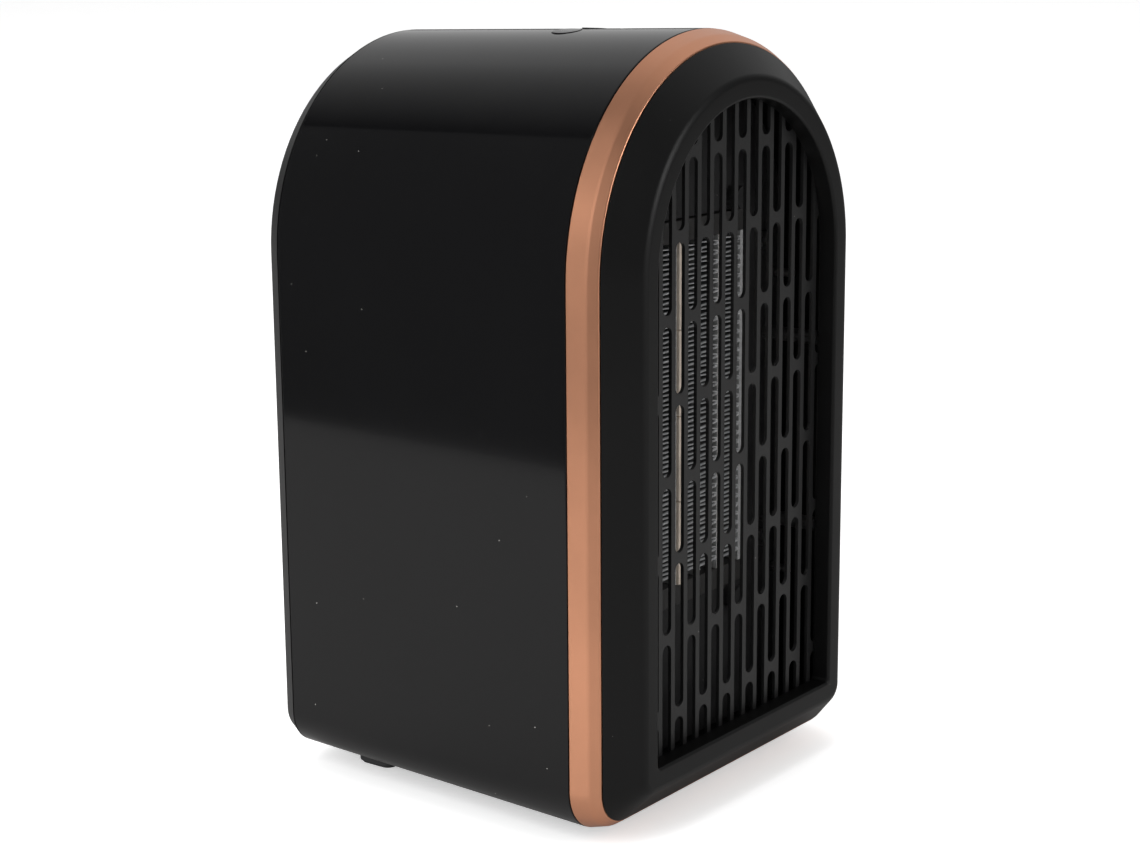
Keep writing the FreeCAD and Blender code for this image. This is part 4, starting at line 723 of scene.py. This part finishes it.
# ---------------------------------------------------------------- inside
class HEATER_OT_inside(bpy.types.Operator):
    """Finish the frame, duct, shroud, fan, motor and circuit board"""

    bl_idname = "heater.inside"
    bl_label = "Inside"

    def execute(self, context):
        softened("frame_moulding", "heater_frame", "frame", "housing", 0.3 * MM)
        softened("shroud_moulding", "fan_shroud", "frame", "housing", 0.4 * MM)
        softened("fan_rotor", "fan_impeller", "fan", "fan", 0.25 * MM)
        softened("motor_shell", "motor_can", "steel", "housing", 0.8 * MM, 3)
        softened("cutout_disc", "thermal_cutout", "frame", "housing", 0.25 * MM)
        softened("board_panel", "control_board", "board", "housing", 0.15 * MM, 1)
        softened("relay_case", "relay", "blue", "housing", 0.5 * MM, 3)
        softened("capacitor_case", "capacitor", "amber", "housing", 0.9 * MM, 3)
        softened("tilt_case", "tilt_switch", "cap", "housing", 0.5 * MM, 3)
        softened("duct_walls", "air_duct", "duct", "housing", 0.2 * MM)
        for node in ("frame_screws", "element_screws", "motor_screws", "board_screws"):
            softened(f"{node}_steel", node, "steel", "housing", 0.2 * MM)
        for node, name in (("motor_bushes", "brass"), ("motor_magnet", "iron"),
                           ("motor_rotor", "iron"), ("motor_shaft", "steel"),
                           ("power_key_switch", "cap"),
                           ("mode_key_switch", "cap"), ("power_plunger", "nylon"),
                           ("mode_plunger", "nylon"), ("indicator_lamp", "nylon")):
            paint(node, name)
        return {"FINISHED"}


class HEATER_OT_rear(bpy.types.Operator):
    """Build the rear cover, its screws and the cord gland"""

    bl_idname = "heater.rear"
    bl_label = "Rear cover"

    def execute(self, context):
        softened("back_cover", "rear_cover", "back", "housing", 0.3 * MM)
        softened("back_screws", "rear_cover_screws", "steel", "housing", 0.25 * MM)
        softened("gland_rubber", "cord_gland", "rubber", "housing", 0.5 * MM, 3)
        return {"FINISHED"}


# ---------------------------------------------------------------- controls and feet
MARK_RADIUS = 1.7 * MM
MARK_HALF_WIDTH = 0.14 * MM
MARK_THICKNESS = 0.06 * MM
MARK_STEPS = 48
OPEN_RING = 1.0
CLOSED_RING = 0.0001


def ring_mark(name, button, body, opening):
    """A thin printed ring with an opening, lying on a button along the arch."""
    x, y = centre_of(button)
    bm = bmesh.new()
    start = bm.verts.new((0, MARK_RADIUS - MARK_HALF_WIDTH, 0))
    rim = bmesh.ops.extrude_vert_indiv(bm, verts=[start])["verts"][0]
    rim.co.y = MARK_RADIUS + MARK_HALF_WIDTH
    bmesh.ops.rotate(bm, verts=bm.verts, cent=(0, 0, 0),
                     matrix=Matrix.Rotation(opening / 2, 3, "Z"))
    bmesh.ops.spin(bm, geom=bm.verts[:] + bm.edges[:], cent=(0, 0, 0), axis=(0, 0, 1),
                   angle=2 * math.pi - opening, steps=MARK_STEPS)
    bmesh.ops.solidify(bm, geom=bm.faces[:], thickness=MARK_THICKNESS)
    bmesh.ops.recalc_face_normals(bm, faces=bm.faces)
    arch = button_arch(button)
    for vert in bm.verts:
        vert.co.x += x
        vert.co.y += y
        vert.co.z += MIDDLE + math.sqrt(arch ** 2 - vert.co.x ** 2)
    piece = to_piece(name, bm, "mark", body, smooth=False)
    return piece


def button_arch(button):
    """Radius of the arch that a button's top follows, from the highest point of its cap."""
    top = max(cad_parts[button].data.vertices, key=lambda v: v.co.z).co
    return math.hypot(top.x, top.z - MIDDLE)


class HEATER_OT_controls(bpy.types.Operator):
    """Build the two push buttons and the indicator's lens"""

    bl_idname = "heater.controls"
    bl_label = "Controls"

    def execute(self, context):
        for name, body, opening in (("power", "power_key", OPEN_RING),
                                    ("mode", "mode_key", CLOSED_RING)):
            softened(f"{name}_cap", f"{name}_button", "gloss", body, 0.3 * MM, 3)
            ring_mark(f"{name}_mark", f"{name}_button", body, opening)
        softened("lens_pipe", "indicator_lens", "lens", "housing", 0.3 * MM, 3)
        return {"FINISHED"}


class HEATER_OT_feet(bpy.types.Operator):
    """Build the four rubber feet"""

    bl_idname = "heater.feet"
    bl_label = "Feet"

    def execute(self, context):
        for node in sorted(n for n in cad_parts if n.startswith("foot")):
            softened(f"{node}_pad", node, "rubber", "housing", 0.45 * MM, 3)
        return {"FINISHED"}


# ---------------------------------------------------------------- floor, light and camera
CAMERA_PLACE = Vector((-0.59979, -0.45310, 0.28251))
CAMERA_TURN = -0.923834
CAMERA_TILT = 0.218592
CAMERA_ROLL = -0.007681
CAMERA_LENS = 71.81
# name, place, target, width, height, watts, seen in gloss
LIGHTS = (
    ("top_softbox", (0.1, 0.2, 1.3), (0, 0, 0.12), 0.9, 1.2, 5, False),
    ("left_softbox", (-1.25, 0.0, 0.76), (0, 0, 0.16), 0.45, 1.4, 15, True),
    ("front_softbox", (0.25, -1.2, 0.55), (0, 0, 0.12), 0.5, 0.5, 3.2, True),
)
# name, size, rise along X, strength, place
CARDS = (
    ("dim_wall", (3.0, 1.6), (-9.0, -8.0), 0.11,
     Matrix.Translation((-0.46, 0.6, 0.8)) @ Matrix.Rotation(math.radians(90), 4, "Y")
     @ Matrix.Rotation(math.radians(90), 4, "Z")),
    ("ceiling", (8.0, 7.2), (-3.85, -2.95), 0.56, Matrix.Translation((3.4, 2.8, 1.15))),
)
FLOOR_RADIUS = 40.0
FLOOR_COLOUR = (0.86, 0.86, 0.86)
FLOOR_IN_GLOSS = (0.42, 0.415, 0.41, 1)
FLOOR_SPECULAR = 0.15
FLOOR_LIFT = 0.45
SURROUND_LEVEL = 1.0
SURROUND_DIFFUSE_DROP = 0.3
SURROUND_GLOSS_DROP = 0.94


def area_light(name, place, target, width, height, power, in_gloss):
    """A soft rectangular light that looks at target."""
    data = bpy.data.lights.new(name, "AREA")
    data.shape = "RECTANGLE"
    data.size = width
    data.size_y = height
    data.energy = power
    lamp = add_object(name, data)
    lamp.location = place
    lamp.rotation_euler = (Vector(target) - Vector(place)).to_track_quat("-Z", "Y").to_euler()
    lamp.visible_glossy = in_gloss


def emission_material(name, rise, strength):
    """A glowing surface that comes up to its strength between two places on its own X."""
    material = bpy.data.materials.new(name)
    material.use_nodes = True
    tree = material.node_tree
    tree.nodes.clear()
    split = tree.nodes.new("ShaderNodeSeparateXYZ")
    tree.links.new(tree.nodes.new("ShaderNodeTexCoord").outputs["Object"], split.inputs[0])
    glow = tree.nodes.new("ShaderNodeEmission")
    tree.links.new(ramp(tree, split.outputs["X"], *rise, 0.0, strength), glow.inputs["Strength"])
    out = tree.nodes.new("ShaderNodeOutputMaterial")
    tree.links.new(glow.outputs[0], out.inputs["Surface"])
    return material


def card(name, size, rise, strength, matrix):
    """A card seen only in gloss that comes up to strength between two places on its X."""
    bm = bmesh.new()
    bmesh.ops.create_grid(bm, x_segments=1, y_segments=1, size=0.5)
    bmesh.ops.scale(bm, vec=(size[0], size[1], 1), verts=bm.verts)
    mesh = mesh_from(name, bm)
    thing = add_object(name, mesh)
    thing.matrix_world = matrix
    mesh.materials.append(emission_material(name, rise, strength))
    thing.visible_camera = False
    thing.visible_diffuse = False
    thing.visible_shadow = False
    thing.visible_transmission = False


class HEATER_OT_stage(bpy.types.Operator):
    """Set up the pale floor, the soft lights and the camera"""

    bl_idname = "heater.stage"
    bl_label = "Stage"

    def execute(self, context):
        self.floor()
        self.world(context)
        for light in LIGHTS:
            area_light(*light)
        for one in CARDS:
            card(*one)
        self.camera(context)
        return {"FINISHED"}

    def floor(self):
        """A large pale floor under the feet, held back a little where it is seen in gloss."""
        bm = bmesh.new()
        bmesh.ops.create_circle(bm, cap_ends=True, segments=96, radius=FLOOR_RADIUS)
        mesh = mesh_from("floor", bm)
        floor = add_object("floor", mesh)
        material = finish("pale_floor", FLOOR_COLOUR, 0.6, 0.04, grain=900, depth=0.0, shade=0.01)
        tree = material.node_tree
        shader = tree.nodes["Principled BSDF"]
        shader.inputs["Specular IOR Level"].default_value = FLOOR_SPECULAR
        path = tree.nodes.new("ShaderNodeLightPath")
        colour = shader.inputs["Base Color"]
        dimmed = colour_mix(tree, path.outputs["Is Glossy Ray"], colour.links[0].from_socket,
                            FLOOR_IN_GLOSS)
        tree.links.new(dimmed, colour)
        shader.inputs["Emission Color"].default_value = (1, 1, 1, 1)
        lift = math_node(tree, "MULTIPLY", path.outputs["Is Camera Ray"], FLOOR_LIFT)
        tree.links.new(lift, shader.inputs["Emission Strength"])
        mesh.materials.append(material)

    def world(self, context):
        """A surround that is white behind the object, even on the floor and dim in gloss."""
        world = bpy.data.worlds.new("surround")
        world.use_nodes = True
        tree = world.node_tree
        background = tree.nodes["Background"]
        path = tree.nodes.new("ShaderNodeLightPath")
        background.inputs["Color"].default_value = (1, 1, 1, 1)
        diffuse = math_node(tree, "MULTIPLY", path.outputs["Is Diffuse Ray"],
                            -SURROUND_DIFFUSE_DROP)
        gloss = math_node(tree, "MULTIPLY", path.outputs["Is Glossy Ray"], SURROUND_GLOSS_DROP)
        level = math_node(tree, "ADD", diffuse, SURROUND_LEVEL)
        level = math_node(tree, "SUBTRACT", level, gloss)
        tree.links.new(level, background.inputs["Strength"])
        context.scene.world = world

    def camera(self, context):
        """The main camera, at the angle of a low three-quarter view."""
        data = bpy.data.cameras.new("main_camera")
        data.lens = CAMERA_LENS
        data.sensor_width = 36
        data.sensor_fit = "HORIZONTAL"
        data.clip_start = 0.01
        camera = add_object("main_camera", data)
        forward = Vector((-math.sin(CAMERA_TURN) * math.cos(CAMERA_TILT),
                          math.cos(CAMERA_TURN) * math.cos(CAMERA_TILT), -math.sin(CAMERA_TILT)))
        level = Vector((math.cos(CAMERA_TURN), math.sin(CAMERA_TURN), 0))
        rise = level.cross(forward)
        right = level * math.cos(CAMERA_ROLL) + rise * math.sin(CAMERA_ROLL)
        up = rise * math.cos(CAMERA_ROLL) - level * math.sin(CAMERA_ROLL)
        turn = Matrix((right, up, -forward)).transposed()
        camera.matrix_world = Matrix.Translation(CAMERA_PLACE) @ turn.to_4x4()
        context.scene.camera = camera
        context.scene.view_settings.view_transform = "Standard"


class HEATER_PT_panel(bpy.types.Panel):
    """Lists the steps that build the heater"""

    bl_label = "Desktop heater"
    bl_idname = "HEATER_PT_panel"
    bl_space_type = "VIEW_3D"
    bl_region_type = "UI"
    bl_category = "Heater"

    def draw(self, context):
        for step in STEPS:
            self.layout.operator(step.bl_idname)
        for group in (context.scene.heater_sizes, context.scene.heater_colours):
            for name in group.bl_rna.properties.keys():
                if name not in ("rna_type", "name"):
                    self.layout.prop(group, name)


STEPS = (HEATER_OT_stage, HEATER_OT_sleeve, HEATER_OT_trim, HEATER_OT_bezel, HEATER_OT_grille,
         HEATER_OT_element, HEATER_OT_inside, HEATER_OT_rear, HEATER_OT_controls, HEATER_OT_feet)
CLASSES = (HeaterSizes, HeaterColours, *STEPS, HEATER_PT_panel)


def register():
    """Registers the classes and hangs the settings on the scene."""
    for cls in CLASSES:
        bpy.utils.register_class(cls)
    bpy.types.Scene.heater_sizes = PointerProperty(type=HeaterSizes)
    bpy.types.Scene.heater_colours = PointerProperty(type=HeaterColours)


def unregister():
    """Takes away what register added."""
    del bpy.types.Scene.heater_colours
    del bpy.types.Scene.heater_sizes
    for cls in reversed(CLASSES):
        bpy.utils.unregister_class(cls)


def main():
    """Builds the whole heater."""
    register()
    for step in STEPS:
        area, name = step.bl_idname.split(".")
        getattr(getattr(bpy.ops, area), name)()


if __name__ == "__main__":
    main()
